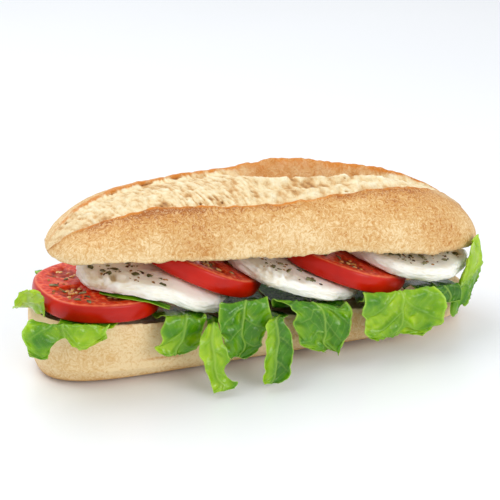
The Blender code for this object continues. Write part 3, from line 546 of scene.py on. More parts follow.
# %% Crumb and crust relief
def fibres(x, across):
    """Slanting strands of stretched crumb, about a millimetre apart, from -1 to 1."""
    drift = 0.8 * soft_noise(np.stack([x, across, 0 * x], -1), 7.0, 3)
    lines = np.stack([(x + 0.35 * across) / 1.3 + drift, across / 4.5, 0 * x], -1)
    fine = np.stack([(x + 0.2 * across) / 0.7 + drift, across / 2.2, 0 * x + 5.0], -1)
    return 0.6 * soft_noise(lines, 1.0, 4) + 0.4 * soft_noise(fine, 1.0, 5)


def burst_crumb(points, size, seed):
    """Rounded lumps and the little clefts between them, from about -1 to 1."""
    near = nearest_spot(points, size, seed)
    return 0.9 * (0.5 - near) + 0.6 * layered_noise(points, 1.2 * size, 3, seed + 1)


def holes(points, spacing, radius, seed):
    """1 in scattered round holes, such as burst bubbles leave, and 0 between them."""
    near = nearest_spot(points, spacing, seed)
    size = radius * (0.6 + 0.8 * np.abs(soft_noise(points, spacing, seed + 3)))
    return 1 - blend_step(near * spacing, 0.45 * size, size)


# %% [markdown]
# Now the rings themselves: front crust, score, back crust and the underside, one
# after the other round the roll.

# %% The upper bun's rings
def upper_bun_grid():
    x = UPPER_CENTRE + UPPER_HALF_LENGTH * shares_along(ROW_STEP)
    share = (x + SCORE_REACH) / (2 * SCORE_REACH)
    wander = 1.5 * line_noise(x, 11.0, 1) + 0.9 * line_noise(x, 3.6, 2)
    lip = np.radians(smooth_curve(SCORE_LIP, share) + wander)[:, None]
    ear = np.radians(smooth_curve(SCORE_EAR, share))[:, None]
    x = x[:, None]
    ragged = 0.5 * line_noise(x, 6.0, 6) + 0.35 * line_noise(x, 2.2, 7)
    back_rise = (ear_rise(x) + ragged) * upper_taper(x, SCORE_ENDS)
    front = crust_points(x, lip * FRONT_STEPS, LIP_RISE * FRONT_STEPS**6)
    torn = score_relief(x, SCORE_STEPS) + ragged * blend_step(SCORE_STEPS, 0.92, 1.0)
    score = crust_points(x, lip + (ear - lip) * SCORE_STEPS, torn)
    rise = back_rise * (1 - blend_step(BACK_STEPS, 0.0, 0.45))
    back = crust_points(x, ear + (math.pi - ear) * BACK_STEPS, rise)
    width = upper_half_width(x)
    hollow = UPPER_DISH * (1 - UNDER_STEPS**6) * blend_step(width, 8.0, 30.0)
    under = np.stack(np.broadcast_arrays(x, width * UNDER_STEPS, hollow), -1)
    return np.concatenate([front, score, back, under], axis=1)


upper_rings = upper_bun_grid()
print("upper bun grid", upper_rings.shape)


# %% [markdown]
# Each point also needs to know what it is. These masks follow the same steps round
# the ring: crust, score, back and cut face. The materials read them, and so does the
# relief that comes next.

# %% Masks of the upper bun
def ring_steps(front, score, back, under):
    return np.concatenate([front, score, back, under])[None, :]


front_zero, score_zero = 0 * FRONT_STEPS, 0 * SCORE_STEPS
back_zero, under_zero = 0 * BACK_STEPS, 0 * UNDER_STEPS
ring_x = upper_rings[..., 0]
score_t = ring_steps(front_zero, SCORE_STEPS, back_zero, under_zero)
in_score = ring_steps(
    front_zero, blend_step(SCORE_STEPS, 0.01, 0.07) * (1 - blend_step(SCORE_STEPS, 0.97, 1.0)),
    back_zero, under_zero,
) * upper_taper(ring_x, SCORE_ENDS) ** 0.4
in_cut = ring_steps(front_zero, score_zero, back_zero, 1 + under_zero)
near_lip = ring_steps(
    blend_step(FRONT_STEPS, 0.96, 1.0), 1 - blend_step(SCORE_STEPS, 0.005, 0.03),
    back_zero, under_zero,
)
near_ear = ring_steps(
    front_zero, blend_step(SCORE_STEPS, 0.94, 0.98), 1 - blend_step(BACK_STEPS, 0.02, 0.1), under_zero
)
inner_wall = ring_steps(front_zero, blend_step(SCORE_STEPS, 0.8, 0.88), back_zero, under_zero)
inner_wall = inner_wall * opened_score(ring_x)
rim_zone = ring_steps(
    1 - blend_step(FRONT_STEPS, 0.0, 0.1), score_zero, blend_step(BACK_STEPS, 0.92, 1.0),
    blend_step(np.abs(UNDER_STEPS), 0.9, 0.985),
)


# %% [markdown]
# The relief is a height for each point, added along its normal. In the score it is
# torn crumb: fibres on the left, lumps and burst bubbles on the right, and one thick
# clump near the right end. On the crust it is only a slow unevenness with a few small
# holes. The rim of the cut is jagged, because a roll is torn by the knife there.

# %% Relief of the upper bun
def torn_crumb(rings):
    """Relief in millimetres of the crumb in the score, and its tone with painted shade in its furrows,
    pits and slots.
    """
    x, across = rings[..., 0], rings[..., 1]
    opened = opened_score(x)
    strands, small, large = fibres(x, across), burst_crumb(rings, 2.3, 8), burst_crumb(rings, 3.8, 18)
    pits = holes(rings, 8.0, 1.3, 28)
    slots = bump(score_t, 0.95, 0.016) * blend_step(line_noise(x, 9.0, 61), 0.25, 0.7) * (1 - opened)
    pale = blend_step(x, 74.0, 96.0) + 0.4 * bump(x, -78.0, 16.0)
    rough = mixed(0.9 * strands + 0.5 * small, 0.9 * large + 0.6 * small, opened)
    clump = bump(x, 66.0, 18.0) * bump(score_t, 0.45, 0.3)
    height = 0.8 * rough - 1.3 * pits - 1.2 * slots + clump * (1.2 + 1.6 * large)
    # Painted shade: the tone darkens in the furrows between fibres and lumps, in the pits and in the
    # slots; it is paler on the clump and towards the right end.
    shade = 0.2 - 0.4 * rough * (1 - 0.4 * pale) + 0.6 * pits + 0.45 * slots - 0.2 * clump - 0.18 * pale
    return height, shade


def relieved_upper_bun(rings):
    normal = ring_normals(rings)
    x = rings[..., 0]
    wide = blend_step(upper_half_width(x), 2.0, 14.0)
    crumb_height, shade = torn_crumb(rings)
    height = in_score * (1 - 0.7 * inner_wall) * crumb_height
    crust_share = (1 - in_score) * (1 - in_cut)
    height += crust_share * 0.35 * layered_noise(rings, 26.0, 2, 12)
    height += crust_share * 0.12 * soft_noise(rings, 3.0, 14)
    height -= crust_share * 0.5 * holes(rings, 15.0, 0.7, 38)
    height += near_lip * (0.35 + 0.45 * soft_noise(rings, 3.0, 39))
    height += in_cut * 0.8 * layered_noise(rings, 6.0, 3, 15)
    jag = 0.8 * line_noise(x, 7.0, 21) + 0.7 * np.abs(line_noise(x, 2.6, 22)) - 0.2
    moved = rings + normal * (height * wide)[..., None]
    moved[..., 2] += rim_zone * jag * wide
    moved[..., 1] -= UPPER_BEND * blend_step(-x, 10.0, 150.0)
    moved[..., 2] += upper_cut(x, rings[..., 2])
    return moved, shade


upper_points, upper_shade = relieved_upper_bun(upper_rings)


# %% [markdown]
# The oven browns what sticks out and leaves pale what lies low or stays covered. So
# the crust is baked more towards the lip of the score, most at the lip and the ear
# themselves, and less at the left end and in the score's last stretch on the right.

# %% The upper bun's piece
def upper_bun_fields():
    x = ring_x
    front_share = ring_steps(FRONT_STEPS, score_zero, back_zero + 0.4, under_zero)
    beside_score = ring_steps(
        blend_step(FRONT_STEPS, 0.8, 1.0), score_zero + 1, 1 - blend_step(BACK_STEPS, 0.0, 0.15),
        under_zero,
    )
    golden = 0.12 * front_share**2 + 0.12 * soft_noise(upper_rings, 22.0, 31)
    golden += 0.1 * bump(x, -60.0, 40.0) * front_share
    golden += 0.22 * blend_step(front_share, 0.82, 1.0) * (0.6 + 0.7 * line_noise(x, 12.0, 32))
    golden -= 0.18 * blend_step(-x, 80.0, 112.0)
    pale_end = 0.8 * blend_step(x, 88.0, 104.0) * (1 - blend_step(x, 112.0, 121.0)) * beside_score
    toast = opened_score(x) * (bump(score_t, 0.42, 0.07) + 0.5 * bump(score_t, 0.72, 0.06))
    toast = 0.3 * toast * blend_step(soft_noise(upper_rings, 9.0, 34), -0.2, 0.4)
    blotches = 0.35 * blend_step(soft_noise(upper_rings, 6.0, 35), 0.25, 0.6) * bump(score_t, 0.15, 0.12)
    broken = 0.65 + 0.7 * soft_noise(upper_rings, 3.6, 33)
    lip_edge = near_lip * (1 - 0.5 * blend_step(x, 60.0, 110.0))
    ear_edge = near_ear * (1.6 - 0.9 * opened_score(x))
    edge = (lip_edge + ear_edge) * broken
    return {
        "crumb": np.clip(in_score * (1 - 0.6 * inner_wall) + in_cut + 0.5 * rim_zone + pale_end, 0, 1),
        "edge": np.clip(edge + 0.3 * inner_wall, 0, 1) * upper_taper(x, SCORE_ENDS) ** 0.6,
        "bake": golden + 0.1 * inner_wall,
        # Painted shade of the crumb's furrows, pits and slots, with its toasted tips and blotches.
        "groove": upper_shade * in_score + 0.25 * (1 - in_score) + toast + blotches * in_score,
        "flour": np.ones(upper_rings.shape[:2]),
    }


# %% The upper bun's mesh
def with_poles(fields, rings):
    """Repeats the end rings' mean value for the two points that close a tube."""
    whole = {}
    for key, values in fields.items():
        values = np.broadcast_to(values, rings.shape[:2])
        ends = [values[0].mean(), values[-1].mean()]
        whole[key] = np.concatenate([values.ravel(), ends])
    return whole


def end_pole(rings, row):
    return rings[row].mean(axis=0)


upper_mesh = tube(upper_points, end_pole(upper_points, 0), end_pole(upper_points, -1))
make_piece(
    "roll_upper_half", *upper_mesh, bread, "crust", ["bun_upper"],
    with_poles(upper_bun_fields(), upper_points),
)


# %% [markdown]
# ## The lower half of the roll
#
# Its outlines go from the flat sole up the bulging side and then in over the cut
# face, which the filling has pressed hollow. It is paler than the top, since less
# heat reaches it on the tray, and its colour turns darker golden towards the sole.

# %% The lower bun
SIDE_OUTLINES = (
    (0.0, 0.955, 0.56), (0.03, 0.972, 0.66), (0.12, 0.985, 0.81), (0.28, 0.995, 0.94),
    (0.5, 1.0, 1.0), (0.72, 1.0, 1.0), (0.9, 0.997, 0.99), (1.0, 0.99, RIM_SHARE),
)
DECK_INSETS = np.linspace(0.985, 0.03, 40)
LOWER_TURN_STEPS = 640


def outline_shares():
    """The side's outlines read finely: each row is height, length and width shares."""
    heights = np.concatenate([np.linspace(0, 0.12, 12)[:-1], np.linspace(0.12, 1, 44)])
    knots = np.array(SIDE_OUTLINES)
    return np.stack([heights] + [np.interp(heights, knots[:, 0], knots[:, k]) for k in (1, 2)], -1)


def lower_bun_grid():
    turns = np.linspace(0, 2 * math.pi, LOWER_TURN_STEPS, endpoint=False)
    share = np.cos(turns)
    half = lower_half_width(LOWER_CENTRE + LOWER_HALF_LENGTH * share)
    side = []
    for height, length, width in outline_shares():
        x = LOWER_CENTRE + LOWER_HALF_LENGTH * length * share
        broader_left = 1 - LEFT_SOLE_SPREAD * share * max(0.0, 1 - height / 0.5)
        y = np.sign(np.sin(turns)) * half * width * broader_left
        side.append(np.stack([x, y, height * lower_cut(x)], -1))
    deck = []
    for inset in DECK_INSETS:
        x = LOWER_CENTRE + (side[-1][:, 0] - LOWER_CENTRE) * inset
        y = side[-1][:, 1] * inset
        deck.append(np.stack([x, y, lower_deck(x, y)], -1))
    return np.array(side), np.array(deck)


lower_side, lower_deck_rows = lower_bun_grid()
lower_rings = np.concatenate([lower_side, lower_deck_rows])


# %% [markdown]
# The lower bun has the same slow unevenness on its side, a short crease on its front
# where the dough folded, and rough crumb on the pressed cut face. Its sole stays flat,
# because it baked on a tray.

# %% Relief of the lower bun
CREASE_PLACE, CREASE_HEIGHT, CREASE_DEPTH = -67.0, 14.5, 0.8


def relieved_lower_bun(rings):
    rows = len(rings)
    height_share = np.concatenate([outline_shares()[:, 0], np.ones(len(DECK_INSETS))])[:, None]
    on_deck = (np.arange(rows) >= len(lower_side))[:, None] * 1.0
    rim = bump(np.arange(rows)[:, None], len(lower_side) - 0.5, 3.0)
    normal = ring_normals(rings)
    normal = np.where(on_deck[..., None] > 0, np.array([0.0, 0.0, 1.0]), normal)
    off_sole = blend_step(rings[..., 2], 0.3, 5.0)
    height = (1 - on_deck) * off_sole * (
        0.45 * layered_noise(rings, 24.0, 2, 41) + 0.1 * soft_noise(rings, 3.0, 42)
    )
    height += on_deck * 0.5 * layered_noise(rings, 5.0, 3, 43)
    crease = bump(rings[..., 0], CREASE_PLACE, 13.0) * bump(rings[..., 2], CREASE_HEIGHT, 0.7)
    crease = crease * (rings[..., 1] < 0)
    height -= CREASE_DEPTH * crease
    moved = rings + normal * height[..., None]
    jag = 0.5 * line_noise(rings[..., 0], 6.0, 44) + 0.4 * line_noise(rings[..., 0], 2.0, 45)
    moved[..., 2] += rim * jag
    patches = soft_noise(rings, 20.0, 46)
    # Paler than the upper bun, and darker golden towards the sole.
    bake = 0.06 * patches - 0.13 + 0.25 * (1 - blend_step(height_share, 0.02, 0.25))
    fields = {
        "crumb": np.clip(on_deck + 0.7 * rim, 0, 1),
        "edge": 0.35 * crease,
        "bake": bake + 0.1 * crease,
        "groove": 0.25 + 0.2 * layered_noise(rings, 4.0, 2, 47),
        "flour": np.full(rings.shape[:2], 0.4),
    }
    return moved, fields


lower_points, lower_fields = relieved_lower_bun(lower_rings)
sole = (LOWER_CENTRE, 0.0, 0.0)
lower_mesh = tube(lower_points, sole, end_pole(lower_points, -1))
make_piece(
    "roll_lower_half", *lower_mesh, bread, "crust", ["bun_lower"],
    with_poles(lower_fields, lower_points),
)


# %% [markdown]
# ## Tomato slices
#
# A slice is a disc 10 mm thick with its skin round the edge. Each cut face shows the
# paler outer wall, five seed chambers filled with wet jelly, and the core between
# them. The skin is smooth and waxy, IOR about 1.45, and so nearly mirror-like at a
# grazing angle. The cut flesh is wet: a coat over a rougher base shows that.

# %% Slice sizes
TOMATO_THICKNESS = 10.0
TOMATOES = {
    "tomato_1": {"centre": (-92.0, -5.0, 42.5), "radius": 33.5, "lean": 4.4, "seed": 0.4},
    "tomato_2": {"centre": (-37.7, -2.4, 51.2), "radius": 35.5, "lean": 25.0, "seed": 1.9},
    "tomato_3": {"centre": (44.0, -5.0, 41.2), "radius": 35.5, "lean": 19.0, "seed": 3.1},
}
SEED_CHAMBERS, CHAMBER_DEPTH = 5, 1.3
TOMATO_TURN_STEPS = 240


# %% [markdown]
# The skin of a ripe tomato is deep red with slow changes of tone. The cut flesh is
# grainy, and its cells break open, so that it looks wet. A thin pale line along the
# rounded edge of the upper face is a painted highlight.

# %% Ripe tomato
def ripe_tomato():
    constants = {
        "Roughness": 0.34, "IOR": 1.4, "Specular IOR Level": 0.35,
        "Coat Weight": 0.12, "Coat Roughness": 0.12,
        "Subsurface Weight": 0.15, "Subsurface Radius": (1.0, 0.25, 0.1), "Subsurface Scale": 0.0015,
    }
    material, tree, shader, place, reading = new_material(
        "ripe_tomato", constants, ("flesh", "jelly", "edge")
    )
    grain = add_node(tree, "TexNoise", None, {"Vector": place, "Scale": spots_of(2.38), "Detail": 4.0})
    broad = add_node(tree, "TexNoise", None, {"Vector": place, "Scale": spots_of(16.7), "Detail": 2.0})
    skin = add_node(tree, "ValToRGB", None, {"Fac": broad}, stops=[(0.3, "#ac1002"), (0.7, "#cc1c02")])
    flesh = add_node(
        tree, "ValToRGB", None, {"Fac": grain},
        stops=[(0.3, "#c01a02"), (0.5, "#dc3408"), (0.7, "#f47a48")],
    )
    jelly = add_node(
        tree, "ValToRGB", None, {"Fac": grain}, stops=[(0.35, "#8f1a08"), (0.7, "#c8441a")]
    )
    wet = add_node(tree, "MixRGB", None, {"Fac": reading["jelly"], "Color1": flesh, "Color2": jelly})
    cut = add_node(tree, "MixRGB", None, {"Fac": reading["flesh"], "Color1": skin, "Color2": wet})
    # A painted highlight: a thin pale line along the rounded edge of the upper face.
    lined = add_node(
        tree, "MixRGB", None, {"Fac": reading["edge"], "Color1": cut, "Color2": linear("#e8805a")}
    )
    height = add_node(tree, "Math", MULTIPLY, {0: grain, 1: reading["flesh"]})
    relief = add_node(tree, "Bump", None, {"Height": height, "Strength": 0.5, "Distance": 0.0008})
    finish(tree, shader, lined, relief)
    return material


tomato_flesh = ripe_tomato()


# %% [markdown]
# The slice is a profile, from the middle of the upper face out over the skin and back
# to the middle of the lower face, turned about its axis. The chambers are sunk into
# both faces, and then the whole disc is leant down to the right as it lies in the
# sandwich.

# %% Parts of a tomato slice
def chamber_mask(share, angle, seed):
    """1 inside a seed chamber, 0 in the walls and the core."""
    spokes = blend_step(np.cos(SEED_CHAMBERS * angle + seed), -0.15, 0.45)
    return spokes * blend_step(share, 0.3, 0.42) * (1 - blend_step(share, 0.74, 0.84))


def leaning(spec, u, w, h):
    """Turns a slice's own coordinates into the sandwich's."""
    lean = math.radians(spec["lean"])
    cx, cy, cz = spec["centre"]
    x = cx + u * math.cos(lean) + h * math.sin(lean)
    z = cz - u * math.sin(lean) + h * math.cos(lean)
    return np.stack(np.broadcast_arrays(x, cy + w, z), -1)


def tomato_profile():
    half = TOMATO_THICKNESS / 2
    face = np.linspace(0.02, 0.93, 62)
    rim = [(0.95, half - 0.1), (0.985, half * 0.86), (1.0, half * 0.6), (1.012, 0.0)]
    rim += [(r, -h) for r, h in reversed(rim[:3])]
    rim = smooth_curve(rim, np.linspace(0, 1, 26))
    upper = np.stack([face, np.full(len(face), half)], -1)
    lower = np.stack([face[::-1], np.full(len(face), -half)], -1)
    return np.concatenate([upper, rim, lower[::2]])


# %% Tomato meshes
def tomato_slice(name, spec):
    profile = tomato_profile()
    share, height = profile[:, :1], profile[:, 1:]
    angle = np.linspace(0, 2 * math.pi, TOMATO_TURN_STEPS, endpoint=False)[None, :]
    lobe = SEED_CHAMBERS * angle + spec["seed"]
    radius = spec["radius"] * share * (1 + 0.018 * np.sin(lobe))
    flesh = 1 - blend_step(share, 0.955, 0.99)
    flat = np.stack([radius * np.cos(angle), radius * np.sin(angle), height + 0 * angle], -1)
    chamber = chamber_mask(share, angle, spec["seed"])
    jelly_swell = 0.5 * layered_noise(flat, 5.0, 2, 51) * chamber
    uneven = 0.16 * layered_noise(flat, 4.0, 3, 52) * flesh
    side = np.sign(height + 1e-6)
    h = height - side * flesh * (CHAMBER_DEPTH * chamber - jelly_swell - uneven)
    points = leaning(spec, radius * np.cos(angle), radius * np.sin(angle), h)
    half = TOMATO_THICKNESS / 2
    poles = [leaning(spec, 0.0, 0.0, side * half) for side in (1, -1)]
    # Painted highlight along the rounded edge of the upper face.
    edge = 0.7 * bump(share, 0.962, 0.014) * (height > 0)
    fields = {"flesh": flesh + 0 * angle, "jelly": chamber * flesh, "edge": edge + 0 * angle}
    mesh = tube(points, *poles)
    return make_piece(
        name + "_slice", *mesh, tomato_flesh, "tomato", [name], with_poles(fields, points)
    )


tomato_pieces = {name: tomato_slice(name, spec) for name, spec in TOMATOES.items()}


# %% [markdown]
# ## Mozzarella slices
#
# Fresh mozzarella is a wet curd, pulled and folded, so a slice has smooth faces and a
# fibrous rim. Light enters it, which a little subsurface scattering shows. Each slice
# is soft and takes the shape of what it lies on, so its middle surface is a height
# over the plan, and the slice is built round that surface.

# %% Mozzarella sizes
CHEESE_THICKNESS = 8.2
CHEESE_TURN_STEPS = 300
CHEESES = {
    "mozzarella_1": {
        "centre": (-65.0, -9.0), "radii": (38.0, 32.0), "turn": -20.0, "seed": 3,
        "torn": (-92.0, -24.0, 14.0),
    },
    "mozzarella_2": {
        "centre": (12.0, -6.0), "radii": (37.0, 37.5), "turn": 0.0, "seed": 8,
        "torn": (-6.0, -34.0, 16.0),
    },
    "mozzarella_3": {
        "centre": (80.0, -5.0), "radii": (35.5, 34.5), "turn": 0.0, "seed": 14,
        "torn": (108.0, -14.0, 8.0),
    },
}
CHEESE_2_HEIGHT, CHEESE_2_LEAN = 41.6, 20.0
CHEESE_3_END_HEIGHT, CHEESE_3_END_SLOPE = 38.3, 0.05
REST_GAP = 0.5


def leaning_height(x, spec):
    """Height of a leaning slice's middle plane at x."""
    centre = spec["centre"]
    return centre[2] - math.tan(math.radians(spec["lean"])) * (x - centre[0])


def upright_half(spec):
    """Half of a leaning tomato slice's thickness, measured straight up."""
    return TOMATO_THICKNESS / 2 / math.cos(math.radians(spec["lean"]))


# %% [markdown]
# The first slice lies on a tomato and bends under the next one, the second leans as
# a flat slice, and the third bends over the edge of the tomato below it. Where two
# heights meet, a soft minimum or maximum rounds the bend.

# %% How each mozzarella slice lies
def cheese_1_height(x, y):
    """It lies on the first tomato, then follows the underside of the second one."""
    first, second = TOMATOES["tomato_1"], TOMATOES["tomato_2"]
    half = CHEESE_THICKNESS / 2
    slanted_half = half / math.cos(math.radians(second["lean"]))
    low = leaning_height(x, first) + upright_half(first) + 2.0 * REST_GAP + half
    high = leaning_height(x, second) - upright_half(second) - REST_GAP - slanted_half
    softness = 0.7
    lying = -softness * np.log(np.exp(-low / softness) + np.exp(-high / softness))
    curled = 1.7 * blend_step(-y, 10.0, 24.0) * bump(x, -82.0, 14.0)
    drooping = 4.5 * blend_step(-y, 24.0, 42.0) * blend_step(x, -72.0, -50.0)
    return lying + curled - drooping


def cheese_2_height(x, y):
    lean = math.tan(math.radians(CHEESE_2_LEAN))
    return CHEESE_2_HEIGHT - lean * (x - CHEESES["mozzarella_2"]["centre"][0])


def cheese_3_height(x, y):
    """It leans on the third tomato and sags on to the lettuce beyond it."""
    third = TOMATOES["tomato_3"]
    slanted_half = CHEESE_THICKNESS / 2 / math.cos(math.radians(third["lean"]))
    on_tomato = leaning_height(x, third) + upright_half(third) + REST_GAP + slanted_half
    softness = 1.6
    sagging = CHEESE_3_END_HEIGHT - CHEESE_3_END_SLOPE * (x - 95.0)
    return softness * np.log(np.exp(on_tomato / softness) + np.exp(sagging / softness))


CHEESE_HEIGHTS = {
    "mozzarella_1": cheese_1_height,
    "mozzarella_2": cheese_2_height,
    "mozzarella_3": cheese_3_height,
}


# %% [markdown]
# Mozzarella is a fresh white cheese. It is moist but not glossy, and its thin edges
# let light through, so it has more scattering than anything else here. Painted shade
# makes it creamier in the furrows between its strands and in the dips of its torn patch.

# %% Fresh mozzarella
def fresh_mozzarella():
    constants = {
        "Roughness": 0.38, "IOR": 1.4,
        "Subsurface Weight": 0.6, "Subsurface Radius": (1.0, 0.92, 0.78), "Subsurface Scale": 0.005,
    }
    material, tree, shader, place, reading = new_material("fresh_mozzarella", constants, ("strand",))
    broad = add_node(tree, "TexNoise", None, {"Vector": place, "Scale": spots_of(11.1), "Detail": 3.0})
    # The stored strand value is painted shade in the rim's furrows and in the torn patch.
    tone = add_node(tree, "Math", MULTIPLY_ADD, {0: broad, 1: 0.5, 2: reading["strand"]})
    colour = add_node(
        tree, "ValToRGB", None, {"Fac": tone},
        stops=[(0.1, "#fdfaf0"), (0.5, "#f8f3e6"), (1.0, "#ddcfae")],
    )
    fine = add_node(tree, "TexNoise", None, {"Vector": place, "Scale": spots_of(2.0), "Detail": 3.0})
    relief = add_node(tree, "Bump", None, {"Height": fine, "Strength": 0.25, "Distance": 0.0005})
    finish(tree, shader, colour, relief)
    return material


mozzarella = fresh_mozzarella()


# %% [markdown]
# The rim of a slice is where the curd was torn, so its outline wanders and strands
# stand out of it. One place on each slice is torn deeper and shows shreds.

# %% Parts of a mozzarella slice
def torn_edge(angle, seed):
    """Share of its radius that a cheese slice reaches at an angle."""
    waves = ((3, 0.022, 1.0), (7, 0.016, 2.1), (13, 0.012, 0.7))
    return 1 + sum(size * np.sin(count * angle + turn * seed) for count, size, turn in waves)


def cheese_profile():
    half = CHEESE_THICKNESS / 2
    face = np.linspace(0.03, 0.78, 40)
    rim = [(0.8, half), (0.95, half * 0.85), (1.01, half * 0.3), (1.0, -half * 0.4)]
    rim += [(0.95, -half * 0.88), (0.8, -half)]
    rim = smooth_curve(rim, np.linspace(0, 1, 44))
    upper = np.stack([face, np.full(len(face), half)], -1)
    lower = np.stack([face[::-1], np.full(len(face), -half)], -1)
    return np.concatenate([upper, rim, lower[::2]])


def on_cheese(spec, height_at, share, angle, h):
    turn = math.radians(spec["turn"])
    u = spec["radii"][0] * share * np.cos(angle)
    w = spec["radii"][1] * share * np.sin(angle)
    x = spec["centre"][0] + u * math.cos(turn) - w * math.sin(turn)
    y = spec["centre"][1] + u * math.sin(turn) + w * math.cos(turn)
    slope = (height_at(x + 1, y) - height_at(x - 1, y)) / 2
    steep = np.hypot(1.0, slope)
    return np.stack(np.broadcast_arrays(x - h * slope / steep, y, height_at(x, y) + h / steep), -1)


# %% Mozzarella meshes
def cheese_slice(name, spec):
    profile = cheese_profile()
    share, height = profile[:, :1], profile[:, 1:]
    angle = np.linspace(0, 2 * math.pi, CHEESE_TURN_STEPS, endpoint=False)[None, :]
    at_rim = blend_step(share, 0.78, 0.97)
    reach = share * mixed(1.0, torn_edge(angle, spec["seed"]), blend_step(share, 0.5, 0.75))
    arc = angle * 36.0
    strand_place = np.stack(np.broadcast_arrays(arc, height * 4.0, share * 30.0), -1)
    strand = soft_noise(strand_place, 2.4, spec["seed"]) + 0.5 * soft_noise(strand_place, 1.1, 7)
    ragged = soft_noise(strand_place * [0.4, 0.4, 0.2], 3.0, spec["seed"] + 5)
    reach = reach + at_rim * (0.016 * strand + 0.02 * ragged * (height < 1.5))
    points = on_cheese(spec, CHEESE_HEIGHTS[name], reach, angle, height)
    dimples = 0.5 * layered_noise(points, 10.0, 4, 60 + spec["seed"])
    x, y, spread = spec["torn"]
    torn = bump(points[..., 0], x, spread) * bump(points[..., 1], y, 9.0) * (height > -2.0)
    shreds = layered_noise(points * [1.0, 0.45, 1.0], 3.4, 3, spec["seed"])
    points[..., 2] += dimples * (1 - at_rim * 0.5) + torn * (2.2 * shreds - 0.6)
    half = CHEESE_THICKNESS / 2
    poles = [on_cheese(spec, CHEESE_HEIGHTS[name], 0.0, 0.0, side * half) for side in (1, -1)]
    # Painted shade: creamier in the furrows between the rim's strands and in the dips of the torn patch,
    # which is darker as a whole.
    shade = 0.1 + at_rim * (0.1 - 0.18 * strand) + torn * (0.3 - 0.7 * shreds)
    fields = {"strand": shade}
    return make_piece(
        name + "_slice", *tube(points, *poles), mozzarella, "mozzarella", [name],
        with_poles(fields, points),
    )


cheese_pieces = {name: cheese_slice(name, spec) for name, spec in CHEESES.items()}


# %% [markdown]
# ## Lettuce
#
# The leaves are a loose-leaved green lettuce: thin, soft and glossy, puckered between
# their veins and frilled at the margin. They lie on the lower bun, bend over its rim
# and hang down. Each is first laid out coarsely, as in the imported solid: stations
# along the midrib, pressed between the bread and the slices. A smooth surface through
# those places then gets the fine frills, puckers and veins.

# %% What lies above and below a leaf
LEAF_CLEARANCE, LEAF_REACH = 0.92, 3.5
LEAF_SPECS = [(spec, None) for spec in TOMATOES.values()]
LEAF_SPECS += [(spec, CHEESE_HEIGHTS[name]) for name, spec in CHEESES.items()]


def covers(spec, x, y, margin):
    """Whether a slice lies over or under a place, seen from above."""
    turn = math.radians(spec.get("turn", 0.0))
    long_radius, short_radius = spec.get("radii", (spec.get("radius"),) * 2)
    long_radius *= math.cos(math.radians(spec.get("lean", 0.0)))
    dx, dy = x - spec["centre"][0], y - spec["centre"][1]
    u = dx * math.cos(turn) + dy * math.sin(turn)
    w = dy * math.cos(turn) - dx * math.sin(turn)
    return math.hypot(u / (long_radius + margin), w / (short_radius + margin)) < 1.0


def underside(x, y, reach):
    """Height of the lowest slice above a place, or None where no slice covers it."""
    heights = []
    for spec, height_at in LEAF_SPECS:
        if covers(spec, x, y, reach):
            if height_at is None:
                heights.append(leaning_height(x, spec) - upright_half(spec))
            else:
                heights.append(height_at(x, y) - CHEESE_THICKNESS / 2 * 1.07)
    return min(heights) if heights else None


def resting(x, y):
    """The lower bun's highest point near a place, or None beside the bun."""
    reach = 9.0 if y > 0 else 6.0
    dx, dy = np.meshgrid([-2.0, 0.0, 2.0], np.linspace(-reach, reach, 9))
    inside = np.abs(y + dy) < lower_half_width(x + dx) + 0.3
    return lower_deck(x + dx, y + dy)[inside].max() if inside.any() else None


# %% [markdown]
# Each row of a leaf holds its left and its right margin, and how high its waves
# stand, from the root to the tip. Two helpers make the rows that lie on the bread
# and that cross its rim. The hem says how far each stretch of the leaf's width, from
# left to right, reaches along the rows, which gives its free end its lobes.

# %% Rows of the leaves
def laid(x, y, half_width, lift=1.0):
    """A row of a leaf lying on the lower bun's cut face."""
    z = float(lower_deck(x, y)) + lift
    return (x - half_width, y, z, x + half_width, y, z, 0.1)


def over_rim(x, side, half_width, lift=1.0):
    """A row where a leaf crosses the lower bun's rim; side is -1 at the front."""
    y = side * (float(lower_half_width(x)) + 0.4)
    left, right = lower_cut(x - half_width) + lift, lower_cut(x + half_width) + lift
    return (x - half_width, y, left, x + half_width, y, right, 0.1)


BROAD_GRID, NARROW_GRID, SMALL_GRID = (9, 17), (7, 15), (7, 11)

